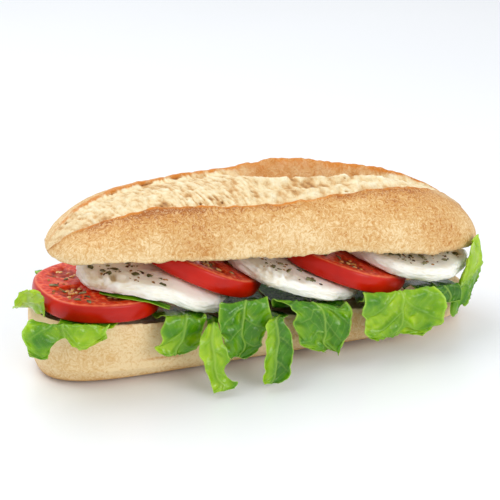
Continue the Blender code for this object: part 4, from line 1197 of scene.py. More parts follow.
# %% Leaves at the left end
LEAVES = {
    "lettuce_left_front": {
        "rows": [(-112, 47, 30, -88, 47, 30, 2.2), (-116, 42, 38, -86, 42, 38, 1.0)]
        + [over_rim(-100, 1, 15), laid(-98, 22, 14), laid(-98, 0, 14), laid(-100, -20, 15)]
        + [over_rim(-104, -1, 16), (-129, -41.5, 43.5, -98, -44, 37.2, 0.4)]
        + [(-137, -45, 47.5, -97.5, -47, 41.5, 0.8), (-140, -46.5, 41, -98.5, -47.5, 38, 1.2)]
        + [(-138, -47, 34, -103, -48, 33, 1.3), (-132, -47, 29, -107, -48, 29.5, 1.2)],
        "hem": (0.93, 1.0, 0.92, 0.84, 0.93, 0.97, 0.86),
        "waves": 4, "phase": 0.6, "cup": -0.25, "grid": BROAD_GRID,
    },
    "lettuce_left_end": {
        "rows": [(-117.7, 5.7, 38.4, -114.3, -5.7, 38.4, 0.1)]
        + [(-123.3, 5.7, 38.8, -118.7, -9.7, 38.8, 0.1)]
        + [(-132, -1.5, 39.5, -121, -12.5, 39.5, 0.1), (-135.5, -11.6, 42, -122, -16.4, 42, 0.4)]
        + [(-138, -18.5, 47, -124, -22, 48, 0.8), (-137.5, -23.5, 53, -125, -26.5, 54, 1.0)]
        + [(-134.5, -26, 57.5, -127.5, -28, 58, 0.8)],
        "hem": (0.95, 1.0, 1.0, 0.95),
        "waves": 3, "phase": 2.0, "cup": 0.4, "grid": SMALL_GRID,
    },
    "lettuce_on_tomato": {
        "rows": [(-64.5, -40.8, 42.6, -62.5, -36.2, 42.6, 0.1)]
        + [(-72.2, -37.5, 45.6, -69.8, -32.1, 45.6, 0.1)]
        + [(-81.4, -34, 47.6, -78.6, -27.6, 47.6, 0.1), (-89.2, -28.5, 48.1, -86.8, -23.1, 48.1, 0.1)]
        + [(-95.8, -22.8, 48.6, -94.2, -19.2, 48.6, 0.1)],
        "hem": (1.0, 1.0),
        "waves": 2, "phase": 0.0, "cup": -0.2, "grid": SMALL_GRID, "on_top": True,
    },
    "lettuce_under_cheese": {
        "rows": [laid(-56, -12, 13, 4), laid(-57, -25, 13, 8), over_rim(-57, -1, 12, 5)]
        + [(-68, -42.5, 40, -46.5, -43, 38.5, 0.4), (-68.5, -45.5, 39, -47, -46, 36, 0.7)]
        + [(-71, -46, 30, -48, -46, 28.5, 1.0), (-73.4, -46, 26, -51, -46, 24, 1.0)]
        + [(-70.5, -45.5, 21.5, -57, -45.5, 20, 0.8), (-67, -45, 19.2, -61.5, -45, 18.8, 0.5)],
        "hem": (1.0, 1.0),
        "waves": 3, "phase": 0.9, "cup": -0.3, "grid": NARROW_GRID,
    },
}

# %% Leaves in the middle
LEAVES |= {
    "lettuce_centre": {
        "rows": [laid(-20, 24, 12), laid(-20, 0, 16, 4), laid(-22, -24, 16, 8), over_rim(-25, -1, 14, 5)]
        + [(-38, -43, 40, -14, -43, 39, 0.4), (-39.5, -47.5, 45, -15, -47.5, 44, 0.8)]
        + [(-42.5, -49.5, 38, -14.8, -50, 37, 1.1), (-42.5, -50, 31.5, -15.5, -50.5, 30.5, 1.3)]
        + [(-39.5, -50, 25, -18.5, -50.5, 24.5, 1.3), (-37.5, -49.5, 19.5, -19.5, -50, 18.5, 1.2)]
        + [(-35, -49, 14.5, -27, -49, 13.8, 1.0)],
        "hem": (1.0, 1.0),
        "waves": 4, "phase": 2.2, "cup": -0.35, "grid": BROAD_GRID,
    },
    "lettuce_long_tip": {
        "rows": [laid(-40, -25, 3), over_rim(-41, -1, 3, 1.2), (-46, -44.5, 31.6, -41, -44.5, 31.6, 0.2)]
        + [(-48.5, -54, 38, -43.5, -54, 38, 0.2), (-51.5, -56, 34.5, -43, -56, 34, 0.6)]
        + [(-54.2, -56.5, 27.5, -41, -57, 26, 1.0), (-53, -57, 21, -38.5, -57, 19.5, 1.1)]
        + [(-50.7, -57.5, 14.5, -41.5, -57.5, 14, 0.9), (-49.5, -58.5, 9, -39.5, -58.5, 8.5, 0.7)]
        + [(-49.5, -60, 5, -35.5, -60, 6.5, 0.5), (-48.5, -61.5, 2.8, -37.5, -61.5, 3.6, 0.3)],
        "hem": (1.0, 1.0),
        "waves": 4, "phase": 0.3, "cup": -0.4, "grid": NARROW_GRID,
    },
    "lettuce_fold": {
        "rows": [laid(-7, -25, 4), over_rim(-7, -1, 5, 1.6), (-10.8, -47.5, 33, -3.5, -47.5, 33, 0.1)]
        + [(-18.5, -57, 37, -9, -57, 37.5, 0.4), (-20.5, -59.5, 32.5, -7.5, -59.5, 32.5, 0.8)]
        + [(-21.3, -60, 26, -5.5, -60, 25.5, 1.0), (-22, -60, 19, -6, -60, 18, 1.0)]
        + [(-23, -60.5, 12, -7, -60.5, 11, 0.8), (-23.5, -61, 6.5, -9, -61, 6, 0.5)]
        + [(-22, -61.5, 3.8, -14, -61.5, 3.4, 0.3)],
        "hem": (1.0, 1.0),
        "waves": 2.5, "phase": 1.1, "cup": -0.9, "grid": NARROW_GRID,
    },
    "lettuce_right_centre": {
        "rows": [(6, 47, 21, 30, 47, 21, 2.2), (3, 42.5, 28.5, 33, 42.5, 28.5, 1.0), over_rim(18, 1, 15)]
        + [laid(17, 22, 16), laid(17, 0, 18, 4), laid(17, -22, 19, 8), over_rim(12, -1, 20, 4)]
        + [(-11, -42, 40.5, 31, -43, 33, 0.5), (-5, -45.5, 38, 32, -46.5, 31, 0.9)]
        + [(0.5, -46.5, 31.5, 32.3, -47.5, 25.5, 1.2), (0.5, -47, 24.5, 32, -48, 20, 1.4)]
        + [(2, -47, 18, 29.5, -47.5, 14, 1.4), (12, -46.5, 11.5, 27, -47, 9, 1.2)]
        + [(17, -46, 8, 24.5, -46.5, 6.8, 1.0)],
        "hem": (1.0, 1.0),
        "waves": 4, "phase": 3.0, "cup": -0.3, "grid": BROAD_GRID,
    },
}

# %% Leaves at the right end
LEAVES |= {
    "lettuce_broad": {
        "rows": [(56, 47, 17, 80, 47, 17, 2.2), (53, 43, 24.5, 83, 43, 24.5, 1.0), over_rim(67, 1, 16)]
        + [laid(66, 22, 17), laid(63, 0, 13, 4), laid(59, -22, 14, 8), over_rim(59, -1, 19, 5)]
        + [(39, -43, 31, 80, -43, 28, 0.5), (37.5, -47.5, 38, 80.5, -47.5, 37, 0.9)]
        + [(36, -50, 35.5, 82.5, -50, 32.5, 1.1), (36, -50.5, 29, 83, -50.5, 26, 1.3)]
        + [(36.8, -50, 23, 81.5, -50, 19.5, 1.3), (39.5, -49.5, 17, 76.5, -49.5, 14, 1.2)]
        + [(45, -49, 12.8, 70, -49, 11.6, 1.0)],
        "hem": (1.0, 1.0),
        "waves": 4, "phase": 1.4, "cup": -0.25, "grid": BROAD_GRID,
    },
    "lettuce_right_end": {
        "rows": [(97.5, -14, 20.6, 104.5, -13, 20.0, 0.1), (96, -33, 22, 104, -27, 26, 0.2)]
        + [(96, -37, 13, 106.3, -33.5, 47, 0.7), (102, -35, 11.5, 110.5, -31.5, 53, 1.1)]
        + [(109, -32, 16, 115, -28.5, 54, 1.2), (115, -28, 21, 119, -25, 52.5, 1.3)]
        + [(118.5, -25, 27, 121, -20.5, 46, 1.4)],
        "hem": (0.97, 1.0, 0.95, 1.0, 0.95),
        "waves": 3, "phase": 0.4, "cup": 0.3, "grid": NARROW_GRID, "reach": 1.2,
    },
    "lettuce_right_front": {
        "rows": [laid(89, -6, 10, 8), laid(88, -19, 12, 12), over_rim(87, -1, 13, 10)]
        + [(75, -39, 31, 98, -36.5, 30, 0.4), (79, -40.5, 33, 99, -38.5, 33, 0.6)]
        + [(85, -41.5, 28, 99.5, -40, 27.5, 0.8), (86, -41.5, 23, 98, -40.5, 23.5, 0.8)],
        "hem": (1.0, 1.0),
        "waves": 3, "phase": 2.6, "cup": -0.2, "grid": SMALL_GRID,
    },
}


# %% [markdown]
# A leaf is laid row by row. Each point is cupped and waved about its row, and then
# pressed: it may not rise above the slice that covers it, nor sink into the bread.

# %% The coarse lay of a leaf
def between_bread_and_slices(point, reach):
    """Press a leaf's point under the slices, then lift it off the bread."""
    x, y, z = point
    above = underside(x, y, reach)
    if above is not None:
        z = min(z, above - LEAF_CLEARANCE)
    below = resting(x, y)
    if below is not None:
        z = max(z, below + LEAF_CLEARANCE)
    return np.array([x, y, z])


def unit(vector):
    return vector / np.linalg.norm(vector)


# %% A leaf row by row
def leaf_place(leaf, u, v):
    """A point on the leaf's middle surface: v runs from root to tip, u across."""
    v = v - (1 - float(smooth_curve(leaf["hem"], (u + 1) / 2))) * v**3
    rows = leaf["rows"]
    here = smooth_curve(rows, v)
    chord = (here[3:6] - here[:3]) / 2
    ahead = smooth_curve(rows, v + 0.02) - smooth_curve(rows, v - 0.02)
    outward = unit(np.cross(chord, ahead[:3] + ahead[3:6]))
    half, reach = np.linalg.norm(chord), max(here[6], 0.0)
    turns = 2 * math.pi * leaf["waves"] * v
    cup = leaf["cup"] * float(blend_step(v, 0.3, 0.8))
    bend = math.sin(cup * u) / cup if abs(cup) > 0.01 else u
    lift = half * (1 - math.cos(cup * u)) / cup if abs(cup) > 0.01 else 0.0
    bend *= 1 + 0.04 * reach * math.sin(1.4 * turns + leaf["phase"] + u)
    edge = max(abs(u), float(blend_step(v, 0.75, 1.0)))
    cross = math.sin(5.0 * u + 1.7 * leaf["phase"] + 4.0 * v)
    lift += reach * (edge**2 * math.sin(turns + leaf["phase"] + 2.2 * u) + 0.35 * cross)
    point = (here[:3] + here[3:6]) / 2 + chord * bend + outward * lift
    if leaf.get("on_top"):
        return point
    return between_bread_and_slices(point, leaf.get("reach", LEAF_REACH))


def coarse_leaf(leaf):
    columns, rows = leaf["grid"]
    us = np.linspace(-1, 1, columns)
    vs = 1 - (1 - np.linspace(0, 1, rows)) ** 1.4
    return np.array([[leaf_place(leaf, u, v) for u in us] for v in vs])


# %% [markdown]
# ### Frills, puckers and veins
#
# A lettuce margin grows faster than the middle, so it has to buckle into frills.
# Between the veins the blade swells into soft blisters. The side veins leave the
# midrib every few millimetres and run forward to the margin. All of it is worked out
# in the leaf's own flat coordinates, in millimetres, so that the pattern keeps its
# size on every leaf.

# %% Fine detail of a leaf
SIDE_VEIN_SPACING = 13.0
LEAF_THICKNESS = 0.5


def vein_line(distance, half_width):
    return np.exp(-((distance / half_width) ** 2))


def leaf_pattern(a, b, u, v, seed):
    """Veins from 0 to 1 and blisters from -1 to 1 on a leaf's flat coordinates."""
    flat = np.stack([a, b, 0 * a + 9.0 * seed], -1)
    warp = 1.6 * soft_noise(flat, 13.0, seed + 1) + 0.5 * soft_noise(flat, 4.0, seed + 5)
    aside = np.abs(a + 0.6 * warp)
    midrib = vein_line(aside, 0.75 - 0.4 * v)
    step = (b - 0.9 * aside + warp) / SIDE_VEIN_SPACING + np.where(a > 0, 0.5, 0.0)
    off_side = np.abs(step - np.round(step)) * SIDE_VEIN_SPACING * 0.74
    side = vein_line(off_side, 0.28) * (1 - 0.7 * np.abs(u))
    branch = (b + 1.6 * aside + 1.4 * warp) / 6.5
    off_branch = np.abs(branch - np.round(branch)) * 6.5 * 0.53
    third = 0.5 * vein_line(off_branch, 0.2) * (1 - 0.6 * np.abs(u))
    vein = np.clip(np.maximum(np.maximum(midrib, 0.8 * side), third), 0, 1)
    between = blend_step(off_side, 0.0, 2.6) * blend_step(aside, 0.0, 2.2)
    pucker = soft_noise(flat, 7.0, seed + 2) + 0.6 * soft_noise(flat, 3.2, seed + 3)
    return vein, between * (0.35 + 1.0 * pucker)


# %% A fine surface through a coarse one
def resampled(grid, rows, columns):
    """A smooth surface through a coarse grid, read on a fine one."""
    along = smooth_curve(grid.reshape(len(grid), -1), np.linspace(0, 1, rows))
    along = along.reshape(rows, grid.shape[1], 3).transpose(1, 0, 2)
    fine = smooth_curve(along.reshape(grid.shape[1], -1), np.linspace(0, 1, columns))
    return fine.reshape(columns, rows, 3).transpose(1, 0, 2)


def surface_normals(grid):
    normal = np.cross(np.gradient(grid, axis=1), np.gradient(grid, axis=0))
    return normal / np.maximum(np.linalg.norm(normal, axis=-1, keepdims=True), 1e-9)


def path_lengths(grid, axis):
    steps = np.linalg.norm(np.diff(grid, axis=axis), axis=-1)
    zero = np.zeros_like(steps[:1] if axis == 0 else steps[:, :1])
    return np.cumsum(np.concatenate([zero, steps], axis=axis), axis=axis)


# %% [markdown]
# Leaves of one head differ in tone, and a leaf that twists shows its paler underside.
# Each leaf has a tone for its right and for its left half, from 0 for dark to 1 for
# bright.

# %% How light each leaf is
LEAF_TONES = {
    "lettuce_left_front": (0.36, 0.26), "lettuce_left_end": (0.5, 0.5),
    "lettuce_on_tomato": (0.3, 0.3), "lettuce_under_cheese": (0.12, 0.3),
    "lettuce_centre": (0.08, 0.16), "lettuce_long_tip": (0.3, 0.34),
    "lettuce_fold": (0.0, 0.36), "lettuce_right_centre": (0.12, 0.04),
    "lettuce_broad": (0.32, 0.28), "lettuce_right_end": (0.5, 0.2),
    "lettuce_right_front": (0.02, 0.02),
}


# %% [markdown]
# The frill is strongest at the free margin of the part that hangs, and fades where
# the leaf lies pressed in the sandwich. Its waves are 7 to 10 mm long at the very
# edge, with a smaller ripple riding on them. The margin also wanders in the leaf's
# own plane, which gives it small lobes.

# %% Frills and lobes of the margin
FRILL_LENGTH, RIPPLE_LENGTH = 9.5, 4.2
LOBE_LENGTH, LOBE_RIPPLE_LENGTH = 7.0, 3.0


def frills(around, seed, side):
    """Waves out of the leaf's plane along its margins, which are out of step."""
    start = 1 + side
    long_wave = np.sin(2 * math.pi * around / FRILL_LENGTH + seed + start)
    ripple = np.sin(2 * math.pi * around / RIPPLE_LENGTH + 1.7 * seed + start)
    return 0.5 * long_wave + 0.15 * ripple


def lobes(way, seed):
    """How far the margin steps out or in within the leaf's plane."""
    wide = line_noise(way, LOBE_LENGTH, seed)
    return 1.3 * wide + 0.5 * line_noise(way, LOBE_RIPPLE_LENGTH, seed + 2) - 0.2


def unit_steps(grid, axis):
    """Unit vectors along the rows or the columns of a grid."""
    way = np.gradient(grid, axis=axis)
    return way / np.maximum(np.linalg.norm(way, axis=-1, keepdims=True), 1e-9)


# %% The fine surface of a leaf
GRID_STEP = 0.66


def frilled_leaf(name, leaf):
    """The fine middle surface of a leaf, with its vein and margin fields."""
    seed = sum(ord(letter) for letter in name) % 97
    coarse = coarse_leaf(leaf)
    rows = int(path_lengths(coarse, 0)[-1].max() / GRID_STEP)
    columns = int(max(path_lengths(coarse, 1)[:, -1].max() / GRID_STEP, 12))
    fine = resampled(coarse, rows, columns)
    b = path_lengths(fine, 0)
    across = path_lengths(fine, 1)
    a = across - across[:, -1:] / 2
    u = np.linspace(-1, 1, columns)[None, :] + np.zeros((rows, 1))
    v = np.linspace(0, 1, rows)[:, None] + np.zeros((1, columns))
    side = np.where(u > 0, 1.0, -1.0)
    reach = np.clip(smooth_curve([row[6] for row in leaf["rows"]], 1 - (1 - v) ** 1.4), 0, 3)
    free = np.clip(reach, 0.0, 1.2)
    vein, blister = leaf_pattern(a, b, u, v, seed)
    margin = np.maximum(blend_step(np.abs(u), 0.55, 1.0), blend_step(v, 0.9, 1.0))
    around = b + side * a * blend_step(v, 0.85, 1.0)
    height = free * margin * frills(around, seed, side)
    height += (0.1 + 1.3 * np.clip(free, 0, 1)) * blister * (1 - 0.5 * margin) - 0.25 * vein
    sideways = np.sign(u) * blend_step(np.abs(u), 0.6, 1.0) * lobes(b * side + 300.0, seed) * free
    endways = blend_step(v, 0.8, 1.0) * lobes(a + 600.0, seed + 1) * free
    moved = fine + surface_normals(fine) * height[..., None]
    moved += unit_steps(fine, 1) * sideways[..., None] + unit_steps(fine, 0) * endways[..., None]
    hem = np.maximum(blend_step(np.abs(u), 0.93, 1.0), blend_step(v, 0.975, 1.0))
    right_tone, left_tone = LEAF_TONES[name]
    return moved, {
        "vein": 0.55 * vein,
        "margin": 0.75 * hem,
        "blister": blister,
        "pressed": 1 - blend_step(reach, 0.15, 0.45),
        "shade": mixed(left_tone, right_tone, blend_step(u, -0.25, 0.1)),
        "thin": margin,
    }


# %% [markdown]
# ### The leaf's finish
#
# A lettuce leaf is a thin wax-coated skin over wet green tissue. It is glossy, light
# shines through it, its veins are paler, and its margin is a fresher yellow-green
# than the blade. Scattering under a surface 0.5 mm thick gives the glow.

# %% Green lettuce
def green_lettuce():
    constants = {
        "Roughness": 0.22, "IOR": 1.42,
        "Subsurface Weight": 0.25, "Subsurface Radius": (0.7, 1.0, 0.15), "Subsurface Scale": 0.0012,
    }
    material, tree, shader, place, reading = new_material(
        "green_lettuce", constants, ("vein", "margin", "blister", "shade", "pressed")
    )
    # A leaf pressed inside the sandwich lies flat against wet slices, so it shines less.
    shine = add_node(tree, "Math", MULTIPLY_ADD, {0: reading["pressed"], 1: -0.45, 2: 0.52})
    tree.links.new(shine.outputs[0], shader.inputs["Specular IOR Level"])
    broad = add_node(tree, "TexNoise", None, {"Vector": place, "Scale": spots_of(18.2), "Detail": 3.0})
    tone = add_node(tree, "Math", MULTIPLY_ADD, {0: broad, 1: 0.7, 2: reading["shade"]})
    # Painted light and shade: the blade is lighter on its blisters and darker in the dips beside its
    # veins.
    tone = add_node(tree, "Math", MULTIPLY_ADD, {0: reading["blister"], 1: 0.25, 2: tone})
    # Painted shade: the parts of a leaf that lie inside the sandwich, under the slices, are darker.
    tone = add_node(tree, "Math", MULTIPLY_ADD, {0: reading["pressed"], 1: -0.3, 2: tone})
    blade = add_node(
        tree, "ValToRGB", None, {"Fac": tone},
        stops=[(0.2, "#225a02"), (0.48, "#4a8602"), (0.75, "#7eaa02"), (1.0, "#a8c826")],
    )
    veined = add_node(
        tree, "MixRGB", None, {"Fac": reading["vein"], "Color1": blade, "Color2": linear("#a2c24c")}
    )
    hemmed = add_node(
        tree, "MixRGB", None, {"Fac": reading["margin"], "Color1": veined, "Color2": linear("#a9cf4a")}
    )
    fine = add_node(tree, "TexNoise", None, {"Vector": place, "Scale": spots_of(3.03), "Detail": 4.0})
    relief = add_node(tree, "Bump", None, {"Height": fine, "Strength": 0.5, "Distance": 0.0008})
    finish(tree, shader, hemmed, relief)
    return material


lettuce = green_lettuce()


# %% [markdown]
# Each leaf becomes a closed solid: one sheet of points half a leaf's thickness above
# the middle surface, one below it, and a strip that joins them round the margin. The
# veins are thicker than the blade, and the margin is thinner.

# %% Leaf meshes
def leaf_solid(name, leaf):
    """Both faces of the blade, a leaf's thickness apart, joined round the margin."""
    middle, fields = frilled_leaf(name, leaf)
    rows, columns = middle.shape[:2]
    normal = surface_normals(middle)
    thin = (LEAF_THICKNESS * (1 - 0.5 * fields.pop("thin")) + fields["vein"])[..., None]
    faces_points = [middle + normal * thin / 2, middle - normal * thin / 2]
    points = np.concatenate([side.reshape(-1, 3) for side in faces_points])
    grid = grid_faces(rows, columns)
    back = rows * columns
    rim = np.concatenate(
        [
            np.arange(columns),
            np.arange(1, rows) * columns + columns - 1,
            back - 1 - np.arange(1, columns),
            np.arange(rows - 2, 0, -1) * columns,
        ]
    )
    after = np.roll(rim, -1)
    wall = np.stack([after, rim, rim + back, after + back], -1)
    doubled = {key: np.concatenate([value.ravel()] * 2) for key, value in fields.items()}
    return make_piece(
        name.replace("lettuce", "leaf"), points, [grid, grid[:, ::-1] + back, wall],
        lettuce, "lettuce", [name], doubled,
    )


for leaf_name, leaf_spec in LEAVES.items():
    leaf_solid(leaf_name, leaf_spec)


# %% [markdown]
# ## Dried herbs and tomato seeds
#
# Dried herb flakes and grains of pepper lie on the slices. They are too small and too
# many to be pieces of their own, so all the flakes become one joined mesh, and all
# the seeds another. Each flake is dropped on to its slice with a ray from above and
# turned to lie on the surface it meets.

# %% Small closed shapes
def flake_shape(seed):
    """A crumpled scrap of dried leaf: points of a closed shape about 1 across."""
    random = np.random.default_rng(seed)
    angles = np.linspace(0, 2 * math.pi, 9)[:-1]
    reach = random.uniform(0.7, 1.0, 8)
    outline = np.stack([np.cos(angles) * reach, 0.55 * np.sin(angles) * reach], -1)
    fold = 0.35 * np.abs(outline[:, 1]) + 0.12 * random.uniform(-1, 1, 8)
    upper = np.column_stack([outline, fold + 0.09])
    lower = np.column_stack([outline, fold - 0.09])
    points = np.concatenate([upper, lower, [[0, 0, 0.1]], [[0, 0, -0.1]]])
    here = np.arange(8)
    after = (here + 1) % 8
    sides = np.stack([here, after, after + 8, here + 8], -1)[:, ::-1]
    top = np.stack([np.full(8, 16), here, after], -1)
    bottom = np.stack([np.full(8, 17), after + 8, here + 8], -1)
    return points, [sides, top, bottom]


def round_shape():
    """A rounded grain, about 1 across each way."""
    polar = np.linspace(0, math.pi, 7)[1:-1][:, None]
    turn = np.linspace(0, 2 * math.pi, 10, endpoint=False)[None, :]
    ring = [np.sin(polar) * np.cos(turn), np.sin(polar) * np.sin(turn), np.cos(polar) + 0 * turn]
    return tube(np.stack(ring, -1), (0, 0, 1), (0, 0, -1))


# %% Dropping small shapes on to a piece
def dropped(piece, x, y):
    """Place and normal, in millimetres, where a plumb line meets a piece, or None."""
    start = Vector((x, y, 120.0)) * MM
    hit, place, normal, _ = piece.ray_cast(start, Vector((0, 0, -1)))
    return (np.array(place) / MM, np.array(normal)) if hit else None


def laid_shape(shape, place, normal, turn, size):
    """A small shape scaled, turned and laid flat at a place."""
    points, faces = shape
    side = unit(np.cross(normal, [0.3, 1.0, 0.2]))
    ahead = np.cross(normal, side)
    axes = np.array([
        side * math.cos(turn) + ahead * math.sin(turn),
        ahead * math.cos(turn) - side * math.sin(turn),
        normal,
    ])
    return place + (points * size) @ axes, faces


def joined(shapes):
    """One list of points and faces from many small shapes."""
    offset, points, faces = 0, [], []
    for shape_points, shape_faces in shapes:
        points.append(shape_points)
        faces += [group + offset for group in shape_faces]
        offset += len(shape_points)
    return np.concatenate(points), faces


# %% [markdown]
# A row of the table below gives a slice, the slice above it, the patch seen from
# above that the herbs fall on, how many, and the seed of the draw. A place is kept
# only where the slice is bare and level enough for a flake to stay on it.

# %% Where the herbs lie
HERB_PATCHES = (
    ("tomato_1", "mozzarella_1", (-118, -94, -32, 6), 8, 21),
    ("tomato_2", "mozzarella_2", (-48, -26, -36, -18), 3, 4),
    ("tomato_3", "mozzarella_3", (26, 50, -38, -20), 3, 6),
    ("mozzarella_1", "tomato_2", (-100, -50, -40, -6), 12, 12),
    ("mozzarella_2", "tomato_3", (-18, 20, -42, -16), 10, 9),
    ("mozzarella_3", None, (56, 112, -37, -14), 15, 5),
)
HERB_SPACING, PEPPER_SPACING, HERB_EDGE_MARGIN, HERB_SLICE_MARGIN = 4.0, 1.2, -4.0, 3.0
LEVEL_ENOUGH = 0.75
SLICES = {**TOMATOES, **CHEESES}
SLICE_PIECES = {**tomato_pieces, **cheese_pieces}


def herb_places(name, upper, patch, count, seed, spacing):
    random = np.random.default_rng(seed)
    found = []
    for _ in range(count * 60):
        x, y = random.uniform(patch[0], patch[1]), random.uniform(patch[2], patch[3])
        turn = random.uniform(0, math.pi)
        if len(found) == count or not covers(SLICES[name], x, y, HERB_EDGE_MARGIN):
            continue
        if upper and covers(SLICES[upper], x, y, HERB_SLICE_MARGIN):
            continue
        drop = dropped(SLICE_PIECES[name], x, y)
        if drop is None or drop[1][2] < LEVEL_ENOUGH:
            continue
        if any(np.linalg.norm(drop[0] - other[0]) < spacing for other in found):
            continue
        found.append((*drop, turn))
    return found


# %% Scattering the herbs
def scattered_herbs():
    flakes, grains = [], []
    for name, upper, patch, count, seed in HERB_PATCHES:
        places = herb_places(name, upper, patch, count, seed, HERB_SPACING)
        for k, (place, normal, turn) in enumerate(places):
            size = 2.1 + 0.7 * math.sin(7 * k + seed)
            flakes.append(laid_shape(flake_shape(seed + k), place + 0.1 * normal, normal, turn, size))
        places = herb_places(name, upper, patch, 2 * count, seed + 50, PEPPER_SPACING)
        for k, (place, normal, turn) in enumerate(places):
            size = np.array([1.0, 0.7, 0.5]) * (0.8 + 0.35 * math.sin(5 * k + seed))
            grains.append(laid_shape(round_shape(), place, normal, turn, size))
    return joined(flakes), joined(grains)


# %% [markdown]
# Dried oregano is a grey-green crumbled leaf, and ground pepper has dark husk and
# paler core. Both are dry and matt, with spots a few millimetres apart, so that one
# flake differs from the next.

# %% Dried herb and pepper
def spotted(name, constants, spot_size, dark, light, detail=2.0):
    """A plain material whose colour drifts from dark to light."""
    material, tree, shader, place, _ = new_material(name, constants)
    spots = add_node(
        tree, "TexNoise", None, {"Vector": place, "Scale": spots_of(spot_size), "Detail": detail}
    )
    finish(tree, shader, add_node(tree, "ValToRGB", None, {"Fac": spots}, stops=[dark, light]))
    return material


DRY = {"Roughness": 0.8, "IOR": 1.45}
dried_oregano = spotted("dried_oregano", DRY, 3.85, (0.38, "#5c5a34"), (0.62, "#a09a70"))
ground_pepper = spotted("ground_pepper", DRY, 3.85, (0.38, "#4a2c18"), (0.62, "#b08048"))
flake_mesh, grain_mesh = scattered_herbs()
make_piece("herb_flakes", *flake_mesh, dried_oregano, "lettuce")
make_piece("pepper_grains", *grain_mesh, ground_pepper, "crust")


# %% [markdown]
# Tomato seeds are flat ovals about 3 mm long in a wet coat, pale straw under orange
# jelly. They lie in the chambers of each slice's upper face.

# %% Tomato seeds
SEEDS_IN_A_SLICE = 42
SEED_SIZE = np.array([1.45, 0.95, 0.55])
WET_COAT = {"Roughness": 0.2, "IOR": 1.45, "Coat Weight": 0.6, "Coat Roughness": 0.05}
seed_coat = spotted("tomato_seed", WET_COAT, 5.56, (0.35, "#c8702c"), (0.65, "#ecc77c"))


def seeds_of(spec, seed):
    random = np.random.default_rng(seed)
    shapes = []
    while len(shapes) < SEEDS_IN_A_SLICE:
        share, angle = random.uniform(0.36, 0.78), random.uniform(0, 2 * math.pi)
        turn = random.uniform(0, math.pi)
        if chamber_mask(share, angle, spec["seed"]) < 0.85:
            continue
        radius = spec["radius"] * share
        height = TOMATO_THICKNESS / 2 - CHAMBER_DEPTH + 0.25
        place = leaning(spec, radius * math.cos(angle), radius * math.sin(angle), height)
        lean = math.radians(spec["lean"])
        normal = np.array([math.sin(lean), 0.0, math.cos(lean)])
        shapes.append(laid_shape(round_shape(), place, normal, turn, SEED_SIZE))
    return shapes


seed_shapes = [
    shape for k, spec in enumerate(TOMATOES.values()) for shape in seeds_of(spec, 70 + k)
]
make_piece("tomato_seeds", *joined(seed_shapes), seed_coat, "tomato")


# %% [markdown]
# ## Studio
#
# The picture was taken on a glossy white table in very soft light, so bright that the
# table is white right up to the sandwich. A pale floor, a broad light above and a
# weaker one in front give that. The camera stands where the photograph was taken
# from: 19 degrees to the left, 22 degrees up and 700 mm away.

# %% [markdown]
# The table is white acrylic with a satin surface. With an IOR of 1.6 it mirrors the
# sandwich faintly and softly, and its colour hardly changes over a third of a metre.

# %% Floor
white_acrylic = spotted(
    "white_acrylic", {"Roughness": 0.3, "IOR": 1.6}, 333.0,
    (0.3, "#f0f2f4"), (0.7, "#f2f4f6"), detail=1.0,
)
FLOOR_HALF = 3000.0
floor_mesh = bpy.data.meshes.new("table_top")
corners = [(-1, -1, 0), (1, -1, 0), (1, 1, 0), (-1, 1, 0)]
floor_mesh.from_pydata([Vector(c) * FLOOR_HALF * MM for c in corners], [], [(0, 1, 2, 3)])
floor_mesh.materials.append(white_acrylic)
floor = bpy.data.objects.new("table_top", floor_mesh)
bpy.context.scene.collection.objects.link(floor)
floor.location.z = -0.0002
floor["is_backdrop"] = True


# %% [markdown]
# Two softboxes and a bright white surrounding light it from all sides, so the
# shadows are wide and pale. The view transform is the plain one, because it keeps
# white as white.

# %% Lights
def softbox(name, place, target, size, watts):
    data = bpy.data.lights.new(name, "AREA")
    data.shape = "RECTANGLE"
    data.size, data.size_y = size
    data.energy = watts
    lamp = bpy.data.objects.new(name, data)
    lamp.location = place
    lamp.rotation_euler = (Vector(target) - Vector(place)).to_track_quat("-Z", "Y").to_euler()
    bpy.context.scene.collection.objects.link(lamp)


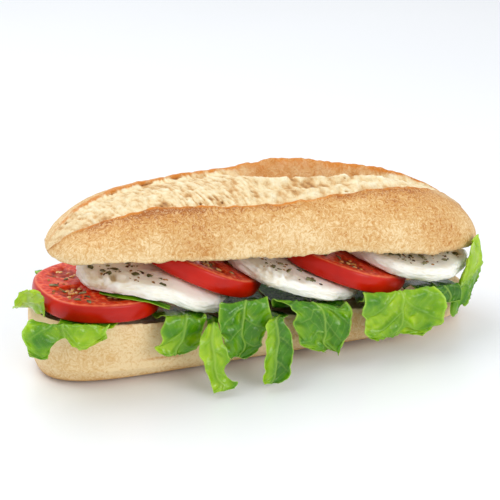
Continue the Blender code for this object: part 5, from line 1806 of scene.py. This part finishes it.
SANDWICH_MIDDLE = (0.0, 0.0, 0.04)
softbox("top_light", (-0.45, 0.45, 1.15), SANDWICH_MIDDLE, (1.3, 1.0), 9.0)
softbox("front_light", (0.5, -1.3, 0.75), SANDWICH_MIDDLE, (0.9, 0.6), 9.0)

world = bpy.data.worlds.new("studio_air")
bpy.context.scene.world = world
world.use_nodes = True
world.node_tree.nodes["Background"].inputs["Color"].default_value = linear("#fafcff")
world.node_tree.nodes["Background"].inputs["Strength"].default_value = 0.8
bpy.context.scene.view_settings.view_transform = "Standard"


# %% [markdown]
# The camera has a long lens, worked out so that one picture element is 0.54 mm at
# the point it looks at.

# %% Camera
YAW, ELEVATION, DISTANCE = math.radians(19.0), math.radians(22.0), 700.0
LOOKED_AT = Vector((-6.70, 3.35, 50.26))
PIXEL_SIZE = 0.54
SENSOR, PICTURE = 36.0, 500

back = Vector((
    -math.sin(YAW) * math.cos(ELEVATION), -math.cos(YAW) * math.cos(ELEVATION), math.sin(ELEVATION)
))
right = Vector((math.cos(YAW), -math.sin(YAW), 0.0))
up = back.cross(right)
camera_data = bpy.data.cameras.new("camera")
camera_data.sensor_width = SENSOR
camera_data.lens = SENSOR * DISTANCE / (PIXEL_SIZE * PICTURE)
camera_data.clip_start = 0.01
camera = bpy.data.objects.new("camera", camera_data)
place = (LOOKED_AT + back * DISTANCE) * MM
camera.matrix_world = Matrix((
    (right.x, up.x, back.x, place.x),
    (right.y, up.y, back.y, place.y),
    (right.z, up.z, back.z, place.z),
    (0.0, 0.0, 0.0, 1.0),
))
bpy.context.scene.collection.objects.link(camera)
bpy.context.scene.camera = camera


# %% [markdown]
# ## Closing
#
# The dressed sandwich should fill the same box as its imported model, so the sizes
# of both boxes are printed at the end.

# %% Sizes of both boxes
shown_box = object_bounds()
boxes = {"cad": [list(c) for c in cad_box], "visual": [list(c) for c in shown_box]}
for key, (low, high) in boxes.items():
    print(key, [round((b - a) / MM, 1) for a, b in zip(low, high)])
